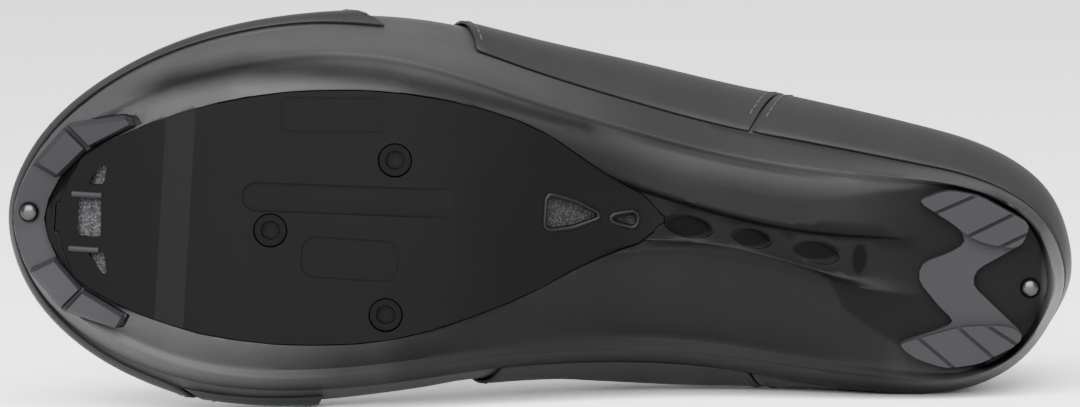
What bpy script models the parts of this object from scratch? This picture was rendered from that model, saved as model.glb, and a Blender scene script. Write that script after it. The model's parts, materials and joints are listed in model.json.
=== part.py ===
"""Left road cycling shoe, empty, lying on its medial side.

Each piece is modelled in the shoe's own frame: x forward from the back of the heel, y towards
the lateral side, z up from the plane that heel pad and ball would stand on. An empty then lays
the whole shoe on its medial side, sole towards -Y, toe towards -X, on the plane z = 0.
"""
import math

import bmesh
import bpy
import numpy as np
from mathutils import Matrix, Vector

# Driving sizes of the shoe, in metres
LENGTH = 0.281
BALL_WIDTH = 0.0975
RIM_WIDTH = 0.016
RIM_HEIGHT = 0.026
SOLE_DEPTH = 0.018
SHANK_RELIEF = 0.010
ARCH_RISE = 0.014
TOE_SPRING = 0.016
INSTEP_HEIGHT = 0.092
UPPER_WALL = 0.0018
LIP_EDGE = 0.0012
LASTING_MARGIN = 0.009
OVERLAY_THICKNESS = 0.0009
INSOLE_THICKNESS = 0.0030
TONGUE_THICKNESS = 0.0028
GAP = 0.0003

# Forefoot plate and what is let into it
PLATE_THICKNESS = 0.0020
BOLT_BORE = 0.0050
INSERT_DIAMETER = 0.0086
INSERT_HEIGHT = 0.0022
INSERT_DEPTH = 0.0004
BOLT_SPREAD = 0.0412
BOLT_REACH = 0.0318
BOLT_CENTRE = (0.640, 0.008)
SLOT_LENGTH = 0.0595
SLOT_WIDTH = 0.0078
SLOT_DEPTH = 0.0010
SLOT_CENTRE = (0.676, 0.104)
SLOT_TURN = math.radians(-1.4)
PANEL_LENGTH = 0.0256
PANEL_WIDTH = 0.0110
PANEL_DEPTH = 0.0006
PANEL_CENTRE = (0.677, -0.057)
LABEL_LENGTH = 0.0270
LABEL_WIDTH = 0.0092
LABEL_DEPTH = 0.0004
LABEL_CENTRE = (0.701, 0.333)
LABEL_TURN = math.radians(-3)
MESH_THICKNESS = 0.0006
PLATE_STEPS = 24
PLATE_NOSE = 0.0040
VENT_STEPS = 6
VENT_POCKET = 0.0020

# Heel pad, toe bumper and their screws
PAD_WEB_THICKNESS = 0.0026
PAD_WING_THICKNESS = 0.0052
PAD_FLOOR = 0.0055
TREAD_GROOVE = 0.0009
TREAD_DEPTH = 0.0013
BUMPER_THICKNESS = 0.0030
BUMPER_SHARE = 0.145
LUG_HEIGHT = 0.0020
SCREW_HEAD = 0.0050
SCREW_HEAD_HEIGHT = 0.0018
SCREW_SHANK = 0.0030
SCREW_LENGTH = 0.0034
SCREW_RIM = 0.0006
SCREW_SEAT = 0.0004
SCREW_WELL = 0.0040
SCREW_STEPS = 18
TOE_SCREW_INSET = 0.0048
TOE_SCREW_ACROSS = 0.0014
HEEL_SCREW_INSET = 0.0100
HEEL_SCREW_ACROSS = -0.0261
SPINE_RECESS_DEPTH = 0.0035

# Straps over the throat
STRAP_THICKNESS = 0.0016
STRAP_BULGE = 0.0022
STRAP_STEPS = 3
ARCH_STEPS = 5
TONGUE_SPAN = (0.325, 0.600)
TONGUE_STEPS = 9

# How the forms are divided, welded and cut
STATIONS = 32
END_CROWDING = 0.50
SLOPE_REACH = 0.006
EDGE_SNAP = 0.005
OVERLAY_CLEAR = 0.0014
OVERLAY_GAP = 0.00042
WELD = 0.00002
RECESS_REACH = 0.004
CUT_REACH = 0.010


class Table:
    """Rows of named columns, read between the rows by a smooth curve that never overshoots."""

    def __init__(self, columns, rows):
        data = np.array(sorted(rows), float)
        self.stops = data[:, 0]
        self.values = {name: data[:, k] for k, name in enumerate(columns)}

    def at(self, column, where):
        x, y = self.stops, self.values[column]
        where = min(max(where, x[0]), x[-1])
        k = int(min(np.searchsorted(x, where, side="right"), len(x) - 1)) - 1
        step = x[k + 1] - x[k]
        share = (where - x[k]) / step
        rise = y[k + 1] - y[k]
        start, end = self.slope(x, y, k) * step, self.slope(x, y, k + 1) * step
        curve = 3 * rise - 2 * start - end + share * (start + end - 2 * rise)
        return float(y[k] + share * (start + share * curve))

    @staticmethod
    def slope(x, y, k):
        if k in (0, len(x) - 1):
            near = 0 if k == 0 else k - 1
            return (y[near + 1] - y[near]) / (x[near + 1] - x[near])
        before = (y[k] - y[k - 1]) / (x[k] - x[k - 1])
        after = (y[k + 1] - y[k]) / (x[k + 1] - x[k])
        if before * after <= 0:
            return 0.0
        return 2 * before * after / (before + after)


# Plan of the sole's edge: along the length, and out from the axis as shares of the ball width
SOLE_EDGE = Table(("along", "lateral", "medial"), [
    (0.014, 0.105, -0.150),
    (0.040, 0.185, -0.255),
    (0.090, 0.248, -0.335),
    (0.160, 0.280, -0.358),
    (0.250, 0.310, -0.345),
    (0.340, 0.338, -0.322),
    (0.430, 0.395, -0.326),
    (0.520, 0.468, -0.345),
    (0.600, 0.540, -0.388),
    (0.680, 0.568, -0.428),
    (0.760, 0.546, -0.446),
    (0.840, 0.478, -0.424),
    (0.905, 0.378, -0.362),
    (0.955, 0.255, -0.268),
    (0.985, 0.130, -0.158),
])
HEEL_POINT = (0.0, -0.022)
TOE_POINT = (1.0, -0.015)

# Side view of the sole: heights above the standing plane, as shares of the named sizes
KEEL = Table(("along", "arch", "spring"), [
    (0.00, 0.08, 0.00),
    (0.06, 0.00, 0.00),
    (0.14, 0.00, 0.00),
    (0.19, 0.14, 0.00),
    (0.26, 0.52, 0.00),
    (0.35, 0.96, 0.00),
    (0.39, 0.98, 0.00),
    (0.45, 0.74, 0.00),
    (0.54, 0.22, 0.00),
    (0.615, 0.00, 0.00),
    (0.775, 0.00, 0.00),
    (0.86, 0.00, 0.27),
    (0.94, 0.00, 0.66),
    (1.00, 0.00, 1.00),
])

# Rim: how far its lines lie in from the edge (of the rim's width) and above the keel (of its height)
RIM = Table(("along", "lat_ridge", "lat_groove", "lat_edge", "med_ridge", "med_groove", "med_edge",
             "border", "ridge", "groove"), [
    (0.00, 0.24, 0.29, 0.33, 0.24, 0.29, 0.33, 0.80, 0.11, 0.14),
    (0.05, 0.10, 0.14, 0.17, 0.28, 0.32, 0.36, 0.81, 0.10, 0.14),
    (0.12, 0.08, 0.13, 0.17, 0.34, 0.40, 0.46, 0.81, 0.11, 0.15),
    (0.18, 0.18, 0.26, 0.33, 0.40, 0.48, 0.56, 0.80, 0.13, 0.16),
    (0.26, 0.32, 0.42, 0.50, 0.34, 0.44, 0.52, 0.74, 0.16, 0.19),
    (0.36, 0.34, 0.43, 0.52, 0.28, 0.40, 0.50, 0.68, 0.15, 0.19),
    (0.45, 0.34, 0.44, 0.54, 0.28, 0.40, 0.52, 0.68, 0.14, 0.18),
    (0.52, 0.36, 0.46, 0.72, 0.28, 0.42, 0.64, 0.62, 0.12, 0.165),
    (0.58, 0.38, 0.50, 0.93, 0.28, 0.42, 0.64, 0.56, 0.10, 0.15),
    (0.66, 0.38, 0.52, 0.95, 0.28, 0.42, 0.62, 0.52, 0.085, 0.135),
    (0.76, 0.38, 0.52, 0.98, 0.28, 0.42, 0.68, 0.50, 0.085, 0.135),
    (0.86, 0.36, 0.50, 0.95, 0.28, 0.42, 0.66, 0.45, 0.115, 0.150),
    (0.94, 0.28, 0.42, 0.66, 0.24, 0.38, 0.56, 0.40, 0.130, 0.160),
    (1.00, 0.16, 0.32, 0.54, 0.16, 0.32, 0.54, 0.36, 0.12, 0.14),
])

# Underside between the rim's inner edges. Across: 0 at the medial edge, 1 at the lateral one.
SPINE_LINES = ("lateral_crest", "lateral_foot", "medial_foot", "medial_crest", "crease", "roll")
SPINE_ACROSS = Table(("along",) + SPINE_LINES, [
    (0.08, 0.72, 0.66, 0.46, 0.40, 0.34, 0.20),
    (0.16, 0.72, 0.70, 0.45, 0.41, 0.38, 0.20),
    (0.22, 0.718, 0.690, 0.475, 0.440, 0.410, 0.150),
    (0.29, 0.725, 0.695, 0.550, 0.510, 0.476, 0.130),
    (0.35, 0.750, 0.720, 0.550, 0.510, 0.470, 0.115),
    (0.40, 0.780, 0.750, 0.505, 0.456, 0.417, 0.110),
    (0.44, 0.800, 0.770, 0.470, 0.417, 0.378, 0.108),
    (0.50, 0.880, 0.840, 0.385, 0.336, 0.290, 0.110),
    (0.56, 0.860, 0.740, 0.510, 0.400, 0.300, 0.150),
    (0.66, 0.860, 0.720, 0.580, 0.440, 0.300, 0.150),
    (0.96, 0.860, 0.720, 0.580, 0.440, 0.300, 0.150),
])
SPINE_HEIGHT = Table(("along", "lateral_edge", "lateral_crest", "lateral_foot", "medial_foot",
                      "medial_crest", "crease", "roll", "medial_edge"), [
    (0.00, 0.55, 0.55, 0.55, 0.55, 0.55, 0.55, 0.55, 0.55),
    (0.15, 0.55, 0.55, 0.55, 0.55, 0.55, 0.55, 0.55, 0.55),
    (0.20, 0.40, 0.20, 0.42, 0.40, 0.16, 0.30, 0.40, 0.54),
    (0.26, 0.30, 0.05, 0.24, 0.24, 0.02, 0.12, 0.26, 0.56),
    (0.36, 0.26, 0.00, 0.20, 0.20, -0.04, 0.08, 0.26, 0.60),
    (0.44, 0.26, 0.02, 0.18, 0.18, 0.00, 0.10, 0.26, 0.58),
    (0.50, 0.26, 0.12, 0.20, 0.18, 0.10, 0.16, 0.28, 0.44),
    (0.56, 0.20, 0.14, 0.14, 0.14, 0.14, 0.14, 0.16, 0.26),
    (0.62, 0.12, 0.12, 0.12, 0.12, 0.12, 0.12, 0.12, 0.12),
    (1.00, 0.12, 0.12, 0.12, 0.12, 0.12, 0.12, 0.12, 0.12),
])
PLATE_LEVEL = 0.12
SEAT = Table(("along", "depth"), [
    (0.00, 1.00), (0.10, 1.00), (0.17, 0.96), (0.25, 0.78), (0.34, 0.56), (0.44, 0.50),
    (0.52, 0.44), (0.60, 0.41), (0.70, 0.39), (0.80, 0.39), (0.92, 0.40), (1.00, 0.40),
])

# Plan of the forefoot plate, its rear drawn out to a tongue between the two crests
PLATE_TOE = 0.957
PLATE_TAIL = 0.384
PLATE_EDGE = Table(("along", "lateral", "medial"), [
    (0.388, 0.115, 0.062),
    (0.400, 0.145, 0.030),
    (0.425, 0.180, 0.000),
    (0.460, 0.238, -0.048),
    (0.500, 0.310, -0.118),
    (0.550, 0.362, -0.184),
    (0.600, 0.390, -0.240),
    (0.660, 0.404, -0.284),
    (0.740, 0.388, -0.300),
    (0.800, 0.350, -0.290),
    (0.860, 0.288, -0.256),
    (0.910, 0.214, -0.206),
    (0.940, 0.150, -0.152),
    (0.952, 0.090, -0.096),
])

# Upper: station share from toe tip (0) to back of heel (1). Ridge or rim of the opening: along the
# length, its middle and half opening (of the ball width), height (of the instep height); how far
# the wall bulges out over the sole's edge (of the rim width), the height of the widest point above
# the sole's edge (of the rim height), the roundness of the wall and how far it turns over (degrees).
UPPER = Table(("share", "along", "middle", "opening", "height", "lat_bulge", "med_bulge", "wide",
               "round", "turn"), [
    (0.00, 0.905, 0.010, 0.000, 0.500, 0.03, 0.03, 0.30, 2.30, 90),
    (0.08, 0.890, 0.020, 0.000, 0.515, 0.06, 0.12, 0.20, 2.30, 90),
    (0.16, 0.848, 0.035, 0.000, 0.540, 0.08, 0.20, 0.14, 2.30, 90),
    (0.24, 0.785, 0.048, 0.000, 0.585, 0.12, 0.25, 0.14, 2.25, 90),
    (0.31, 0.720, 0.055, 0.000, 0.640, 0.14, 0.24, 0.15, 2.20, 90),
    (0.36, 0.665, 0.055, 0.075, 0.695, 0.18, 0.22, 0.24, 2.15, 86),
    (0.43, 0.585, 0.050, 0.140, 0.775, 0.27, 0.24, 0.44, 2.05, 80),
    (0.50, 0.510, 0.042, 0.185, 0.865, 0.38, 0.32, 0.62, 1.95, 74),
    (0.565, 0.440, 0.034, 0.220, 0.965, 0.48, 0.42, 0.70, 1.90, 68),
    (0.625, 0.375, 0.026, 0.262, 0.985, 0.54, 0.46, 0.72, 1.90, 60),
    (0.70, 0.285, 0.010, 0.285, 0.860, 0.54, 0.26, 0.76, 1.90, 54),
    (0.78, 0.200, -0.008, 0.275, 0.730, 0.50, 0.02, 0.77, 1.90, 50),
    (0.86, 0.118, -0.018, 0.238, 0.755, 0.42, -0.08, 0.74, 1.90, 48),
    (0.93, 0.056, -0.022, 0.150, 0.845, 0.30, -0.06, 0.71, 1.90, 46),
    (0.965, 0.038, -0.022, 0.088, 0.868, 0.16, 0.00, 0.70, 1.90, 45),
    (1.00, 0.032, -0.022, 0.000, 0.875, 0.08, 0.08, 0.68, 1.90, 44),
])
WALL_STEPS = 6
SIDE_STEPS = 2

# Overlays: their front and rear edges, as station shares at the sole's edge and at the ridge, and
# how many of the wall's points they reach up
TOE_OVERLAY = {"lateral": (0.375, 0.285), "medial": (0.205, 0.285), "up": 8.0}
FOREFOOT_OVERLAY = {"front": (0.214, 0.294), "rear": (0.330, 0.310), "up": 5.7}
QUARTER_LATERAL = {"front": (0.452, 0.395), "rear": (0.688, 0.758), "up": 7.6}
QUARTER_MEDIAL = {"front": (0.480, 0.400), "rear": (0.688, 0.758), "up": 7.6}
COUNTER = {"front": (0.690, 0.760), "up": 6.4}
STRAPS = {
    "strap_front": {"from": 0.405, "to": 0.455, "medial": 6, "lateral": 7},
    "strap_middle": {"from": 0.475, "to": 0.525, "medial": 6, "lateral": 7},
    "strap_top": {"from": 0.545, "to": 0.605, "medial": 6, "lateral": 7},
}

MATERIALS = {
    "shell": {"colour": (0.070, 0.070, 0.074), "roughness": 0.42, "metallic": 0.0, "density": 1100},
    "plate": {"colour": (0.020, 0.020, 0.020), "roughness": 0.30, "metallic": 0.0, "density": 1100},
    "bumper": {"colour": (0.125, 0.125, 0.132), "roughness": 0.55, "metallic": 0.0, "density": 1100},
    "upper": {"colour": (0.052, 0.052, 0.054), "roughness": 0.60, "metallic": 0.0, "density": 900},
    "overlay": {"colour": (0.028, 0.028, 0.029), "roughness": 0.45, "metallic": 0.0, "density": 900},
    "fabric": {"colour": (0.022, 0.022, 0.022), "roughness": 0.95, "metallic": 0.0, "density": 300},
    "steel": {"colour": (0.560, 0.560, 0.550), "roughness": 0.28, "metallic": 1.0, "density": 7850},
    "insert": {"colour": (0.050, 0.050, 0.050), "roughness": 0.40, "metallic": 1.0, "density": 2700},
    "mesh": {"colour": (0.230, 0.230, 0.235), "roughness": 0.90, "metallic": 0.0, "density": 300},
}


def unit(vector):
    return vector / max(np.linalg.norm(vector), 1e-12)


def closed_spline(points, per_span=14):
    """Smooth closed curve through the points, with the points' own spacing kept in its speed."""
    points = [np.array(p, float) for p in points]
    count = len(points)
    curve = []
    for k in range(count):
        a, b, c, d = (points[(k + j) % count] for j in (-1, 0, 1, 2))
        ta = 0.0
        tb = ta + math.sqrt(np.linalg.norm(b - a))
        tc = tb + math.sqrt(np.linalg.norm(c - b))
        td = tc + math.sqrt(np.linalg.norm(d - c))
        for j in range(per_span):
            t = tb + (tc - tb) * j / per_span
            ab = ((tb - t) * a + (t - ta) * b) / (tb - ta)
            bc = ((tc - t) * b + (t - tb) * c) / (tc - tb)
            cd = ((td - t) * c + (t - tc) * d) / (td - tc)
            abc = ((tc - t) * ab + (t - ta) * bc) / (tc - ta)
            bcd = ((td - t) * bc + (t - tb) * cd) / (td - tb)
            curve.append(((tc - t) * abc + (t - tb) * bcd) / (tc - tb))
    return curve


class Edge:
    """One half of the sole's edge in plan, from the toe tip to the back of the heel."""

    def __init__(self, points, side):
        self.side = side
        self.points = np.array(points)
        steps = np.linalg.norm(np.diff(self.points, axis=0), axis=1)
        self.run = np.concatenate(([0.0], np.cumsum(steps)))
        self.run /= self.run[-1]

    def point(self, share):
        return np.array([np.interp(share, self.run, self.points[:, k]) for k in (0, 1)])

    def inward(self, share):
        """Unit direction in plan from the edge towards the inside of the sole."""
        if share <= 0.0:
            return np.array([-1.0, 0.0])
        if share >= 1.0:
            return np.array([1.0, 0.0])
        ahead = self.point(min(share + SLOPE_REACH, 1.0)) - self.point(max(share - SLOPE_REACH, 0.0))
        across = unit(np.array([-ahead[1], ahead[0]]))
        return across if self.side == "lateral" else -across


def sole_halves():
    rows = [(a, SOLE_EDGE.at("lateral", a), SOLE_EDGE.at("medial", a)) for a in SOLE_EDGE.stops]
    place = lambda a, w: (a * LENGTH, w * BALL_WIDTH)
    ring = [place(*TOE_POINT)]
    ring += [place(a, lateral) for a, lateral, medial in reversed(rows)]
    ring.append(place(*HEEL_POINT))
    ring += [place(a, medial) for a, lateral, medial in rows]
    curve = closed_spline(ring)
    turn = len(curve) // 2
    lateral = curve[:turn + 1]
    medial = [curve[0]] + curve[turn:][::-1]
    return {"lateral": Edge(lateral, "lateral"), "medial": Edge(medial, "medial")}


EDGES = sole_halves()


def station_shares(count=STATIONS):
    """Station shares from toe to heel, crowded towards the two round ends."""
    even = [k / count for k in range(count + 1)]
    return [u - END_CROWDING * math.sin(2 * math.pi * u) / (2 * math.pi) for u in even]


def keel_z(along):
    return ARCH_RISE * KEEL.at("arch", along) + TOE_SPRING * KEEL.at("spring", along)


def seat_z(along):
    return keel_z(along) + SOLE_DEPTH * SEAT.at("depth", along)


def border_z(along):
    return keel_z(along) + RIM_HEIGHT * RIM.at("border", along)


def plate_z(along):
    """Level of the underside between the rim's inner edges, in the forefoot."""
    return keel_z(along) + SHANK_RELIEF * PLATE_LEVEL


class Side:
    """Points of one side's section at a station: sole's edge, rim lines and the upper's wall."""

    def __init__(self, side, share):
        self.side, self.share = side, share
        self.short = "lat" if side == "lateral" else "med"
        self.edge = EDGES[side].point(share)
        self.inward = EDGES[side].inward(share)
        self.along = min(max(self.edge[0] / LENGTH, 0.0), 1.0)

    def rim(self, line, z):
        inset = 0.0 if line == "border" else RIM_WIDTH * RIM.at(f"{self.short}_{line}", self.along)
        xy = self.edge + self.inward * inset
        return np.array([xy[0], xy[1], z])

    def border(self):
        return self.rim("border", border_z(self.along))

    def rim_lines(self):
        keel = keel_z(self.along)
        ridge = self.rim("ridge", keel + RIM_HEIGHT * RIM.at("ridge", self.along))
        groove = self.rim("groove", keel + RIM_HEIGHT * RIM.at("groove", self.along))
        inner = self.rim("edge", keel + SHANK_RELIEF * SPINE_HEIGHT.at(f"{self.side}_edge", self.along))
        return [self.border(), ridge, groove, inner]

    def floor_inset(self):
        """How far in the cup's floor starts, so that the leaning rim keeps its thickness."""
        border, seat = border_z(self.along), seat_z(self.along)
        ridge = keel_z(self.along) + RIM_HEIGHT * RIM.at("ridge", self.along)
        lean = RIM_WIDTH * RIM.at(f"{self.short}_ridge", self.along) / (border - ridge)
        return lean * max(border - seat, 0.0) + 2 * LIP_EDGE

    def at_level(self, inset, z):
        xy = self.edge + self.inward * inset
        return np.array([xy[0], xy[1], z])

    def ridge_point(self):
        u = self.share
        half = BALL_WIDTH * UPPER.at("opening", u)
        middle = BALL_WIDTH * UPPER.at("middle", u)
        sign = 1.0 if self.side == "lateral" else -1.0
        return np.array([LENGTH * UPPER.at("along", u), middle + sign * half,
                         INSTEP_HEIGHT * UPPER.at("height", u)])

    def wall(self, offset=0.0):
        """Outer face of the upper from its turned-in margin to its ridge or opening."""
        u = self.share
        seat = seat_z(self.along)
        lip = LIP_EDGE + GAP
        bulge = RIM_WIDTH * UPPER.at(f"{self.short}_bulge", u)
        border = border_z(self.along)
        wide_z = border + RIM_HEIGHT * UPPER.at("wide", u)
        top = self.ridge_point()
        points = [
            self.at_level(self.floor_inset() + GAP + LASTING_MARGIN, seat),
            self.at_level(self.floor_inset() + GAP, seat),
            self.at_level(lip, border),
        ]
        for k in range(1, SIDE_STEPS + 1):
            w = k / SIDE_STEPS
            inset = lip - (lip + bulge) * (1 - (1 - w) ** 2)
            points.append(self.at_level(inset, border + (wide_z - border) * w))
        wide = points[-1]
        limit = math.radians(UPPER.at("turn", u))
        power = 2.0 / UPPER.at("round", u)
        full_in, full_up = 1 - math.cos(limit) ** power, math.sin(limit) ** power
        for k in range(1, WALL_STEPS + 1):
            angle = limit * k / WALL_STEPS
            inner = (1 - max(math.cos(angle), 0.0) ** power) / full_in
            up = math.sin(angle) ** power / full_up
            xy = wide[:2] + (top[:2] - wide[:2]) * inner
            points.append(np.array([xy[0], xy[1], wide[2] + (top[2] - wide[2]) * up]))
        if offset:
            points = self.moved_out(points, offset)
        return points

    def moved_out(self, points, offset):
        """The same wall, moved out along its own normal."""
        ahead = Side(self.side, min(self.share + SLOPE_REACH, 1.0)).wall()
        behind = Side(self.side, max(self.share - SLOPE_REACH, 0.0)).wall()
        sign = 1.0 if self.side == "lateral" else -1.0
        result = []
        for k, point in enumerate(points):
            up = points[min(k + 1, len(points) - 1)] - points[max(k - 1, 0)]
            length = ahead[k] - behind[k]
            normal = unit(np.cross(length, up)) * sign
            on_ridge = k == len(points) - 1 and UPPER.at("opening", self.share) == 0.0
            if on_ridge or self.share <= 0.0 or self.share >= 1.0:
                normal[1] = 0.0
                normal = unit(normal)
            result.append(point + normal * offset)
        return result


def blade(name, rings, faces):
    """Object from rings of points and faces of (ring, index) pairs, its doubles welded."""
    mesh = bpy.data.meshes.new(name)
    bm = bmesh.new()
    verts = [[bm.verts.new(Vector(p)) for p in ring] for ring in rings]
    for face in faces:
        corners = []
        for ring, index in face:
            corner = verts[ring][index]
            if corner not in corners:
                corners.append(corner)
        if len(corners) > 2:
            bm.faces.new(corners)
    bmesh.ops.remove_doubles(bm, verts=bm.verts, dist=WELD)
    bmesh.ops.dissolve_degenerate(bm, edges=bm.edges, dist=WELD / 2)
    bm.to_mesh(mesh)
    bm.free()
    return bpy.data.objects.new(name, mesh)


def loft(name, sections, closed=True):
    """Solid through closed sections with the same number of points. Ends fold shut by themselves
    where a section's two halves meet, and are capped where they don't."""
    count = len(sections[0])
    faces = []
    for i in range(len(sections) - 1):
        for j in range(count):
            k = (j + 1) % count
            faces.append([(i, j), (i, k), (i + 1, k), (i + 1, j)])
    if not closed:
        faces.append([(0, j) for j in reversed(range(count))])
        faces.append([(len(sections) - 1, j) for j in range(count)])
    obj = blade(name, sections, faces)
    face_out(obj)
    return obj


def face_out(obj):
    bm = bmesh.new()
    bm.from_mesh(obj.data)
    bmesh.ops.recalc_face_normals(bm, faces=bm.faces)
    if bm.calc_volume(signed=True) < 0:
        bmesh.ops.reverse_faces(bm, faces=bm.faces)
    bm.to_mesh(obj.data)
    bm.free()


def grid_sheet(name, rows, flip):
    """Open sheet from rows of points, one row for each station."""
    faces = []
    for i in range(len(rows) - 1):
        for j in range(len(rows[0]) - 1):
            face = [(i, j), (i + 1, j), (i + 1, j + 1), (i, j + 1)]
            faces.append(face[::-1] if flip else face)
    return blade(name, rows, faces)


def joined_sheet(name, sheets):
    """Several open sheets as one, welded along the lines that they share."""
    bm = bmesh.new()
    for sheet in sheets:
        bm.from_mesh(sheet.data)
        bpy.data.objects.remove(sheet)
    bmesh.ops.remove_doubles(bm, verts=bm.verts, dist=WELD)
    mesh = bpy.data.meshes.new(name)
    bm.to_mesh(mesh)
    bm.free()
    return bpy.data.objects.new(name, mesh)


def thicken(obj, thickness, outward):
    solid = obj.modifiers.new("thickness", "SOLIDIFY")
    solid.thickness = thickness
    solid.offset = 1.0 if outward else -1.0
    solid.use_even_offset = True
    solid.thickness_clamp = 1.0
    return obj


def shade(obj, angle=32.0):
    obj.data.shade_smooth()
    obj.data.set_sharp_from_angle(angle=math.radians(angle))
    return obj


def make_material(name):
    look = MATERIALS[name]
    material = bpy.data.materials.new(name)
    material.use_nodes = True
    shader = material.node_tree.nodes["Principled BSDF"]
    shader.inputs["Base Color"].default_value = (*look["colour"], 1.0)
    shader.inputs["Roughness"].default_value = look["roughness"]
    shader.inputs["Metallic"].default_value = look["metallic"]
    return material


class Build:
    """The part's collections, its parent empty and the helpers that put objects there."""

    def __init__(self):
        for obj in list(bpy.data.objects):
            bpy.data.objects.remove(obj)
        self.parts = bpy.data.collections.new("cycling_shoe")
        self.cutters = bpy.data.collections.new("cutters")
        for collection in (self.parts, self.cutters):
            bpy.context.scene.collection.children.link(collection)
        self.pose = bpy.data.objects.new("rest_pose", None)
        self.parts.objects.link(self.pose)

    def add(self, obj, look, angle=32.0):
        obj.data.materials.clear()
        material = make_material(look)
        material.name = f"{obj.name}_{look}"
        obj.data.materials.append(material)
        shade(obj, angle)
        self.parts.objects.link(obj)
        obj.parent = self.pose
        return obj

    def cutter(self, obj):
        obj.hide_render = True
        obj.display_type = "WIRE"
        self.cutters.objects.link(obj)
        obj.parent = self.pose
        return obj

    def cut(self, obj, cutter, operation="DIFFERENCE"):
        self.cutter(cutter)
        boolean = obj.modifiers.new(cutter.name, "BOOLEAN")
        boolean.operation = operation
        boolean.solver = "EXACT"
        boolean.object = cutter
        return boolean


def prism(name, outline, low, high):
    """Upright prism over a plan outline between two heights."""
    mesh = bpy.data.meshes.new(name)
    bm = bmesh.new()
    base = bm.faces.new([bm.verts.new((x, y, low)) for x, y in outline])
    top = bmesh.ops.extrude_face_region(bm, geom=[base])
    moved = [item for item in top["geom"] if isinstance(item, bmesh.types.BMVert)]
    bmesh.ops.translate(bm, verts=moved, vec=(0, 0, high - low))
    bmesh.ops.recalc_face_normals(bm, faces=bm.faces)
    if bm.calc_volume(signed=True) < 0:
        bmesh.ops.reverse_faces(bm, faces=bm.faces)
    bm.to_mesh(mesh)
    bm.free()
    return bpy.data.objects.new(name, mesh)


def rounded_box(centre, length, width, radius, turn=0.0, steps=5):
    """Plan outline of a rectangle with round corners, turned about its centre."""
    outline = []
    for sx, sy, start in ((1, 1, 0), (-1, 1, 90), (-1, -1, 180), (1, -1, 270)):
        for k in range(steps + 1):
            angle = math.radians(start + 90 * k / steps)
            outline.append((sx * (length / 2 - radius) + radius * math.cos(angle),
                            sy * (width / 2 - radius) + radius * math.sin(angle)))
    c, s = math.cos(turn), math.sin(turn)
    return [(centre[0] + x * c - y * s, centre[1] + x * s + y * c) for x, y in outline]


def rounded_outline(corners, radius, steps=4):
    """Plan outline with each corner of a polygon rounded by a short curve."""
    outline = []
    count = len(corners)
    for k in range(count):
        before, corner, after = (np.array(corners[(k + j) % count], float) for j in (-1, 0, 1))
        reach_before = min(radius, 0.45 * np.linalg.norm(before - corner))
        reach_after = min(radius, 0.45 * np.linalg.norm(after - corner))
        start = corner + unit(before - corner) * reach_before
        end = corner + unit(after - corner) * reach_after
        for j in range(steps + 1):
            t = j / steps
            point = (1 - t) ** 2 * start + 2 * t * (1 - t) * corner + t * t * end
            outline.append((float(point[0]), float(point[1])))
    return outline


def grown(outline, margin):
    """The outline moved out by a margin, corner by corner."""
    points = [np.array(p) for p in outline]
    area = sum(a[0] * b[1] - b[0] * a[1] for a, b in zip(points, points[1:] + points[:1]))
    sign = 1.0 if area > 0 else -1.0
    result = []
    for k, point in enumerate(points):
        before, after = points[k - 1], points[(k + 1) % len(points)]
        run = unit(unit(point - before) + unit(after - point))
        result.append((point[0] + run[1] * margin * sign, point[1] - run[0] * margin * sign))
    return result


def cylinder(name, centre, diameter, low, high, sides=20):
    mesh = bpy.data.meshes.new(name)
    bm = bmesh.new()
    middle = Matrix.Translation((centre[0], centre[1], (low + high) / 2))
    bmesh.ops.create_cone(bm, cap_ends=True, segments=sides, radius1=diameter / 2,
                          radius2=diameter / 2, depth=high - low, matrix=middle)
    bm.to_mesh(mesh)
    bm.free()
    return bpy.data.objects.new(name, mesh)


def underside(lateral_side, medial_side):
    """Points across the underside from the lateral to the medial inner edge of the rim."""
    lateral, medial = lateral_side.rim_lines()[-1], medial_side.rim_lines()[-1]
    points = []
    for line in SPINE_LINES:
        along = (lateral[0] + medial[0]) / 2 / LENGTH
        across = SPINE_ACROSS.at(line, along)
        xy = medial[:2] + (lateral[:2] - medial[:2]) * across
        along = xy[0] / LENGTH
        points.append(np.array([xy[0], xy[1], keel_z(along) + SHANK_RELIEF * SPINE_HEIGHT.at(line, along)]))
    return points


def cup_lines(side):
    """Inner face of the sole's cup, from its lip down to its floor, clear of the upper."""
    seat = seat_z(side.along) - GAP
    return [
        side.at_level(LIP_EDGE, border_z(side.along)),
        side.at_level(side.floor_inset(), seat),
        side.at_level(side.floor_inset() + LASTING_MARGIN / 2, seat),
    ]


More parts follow.
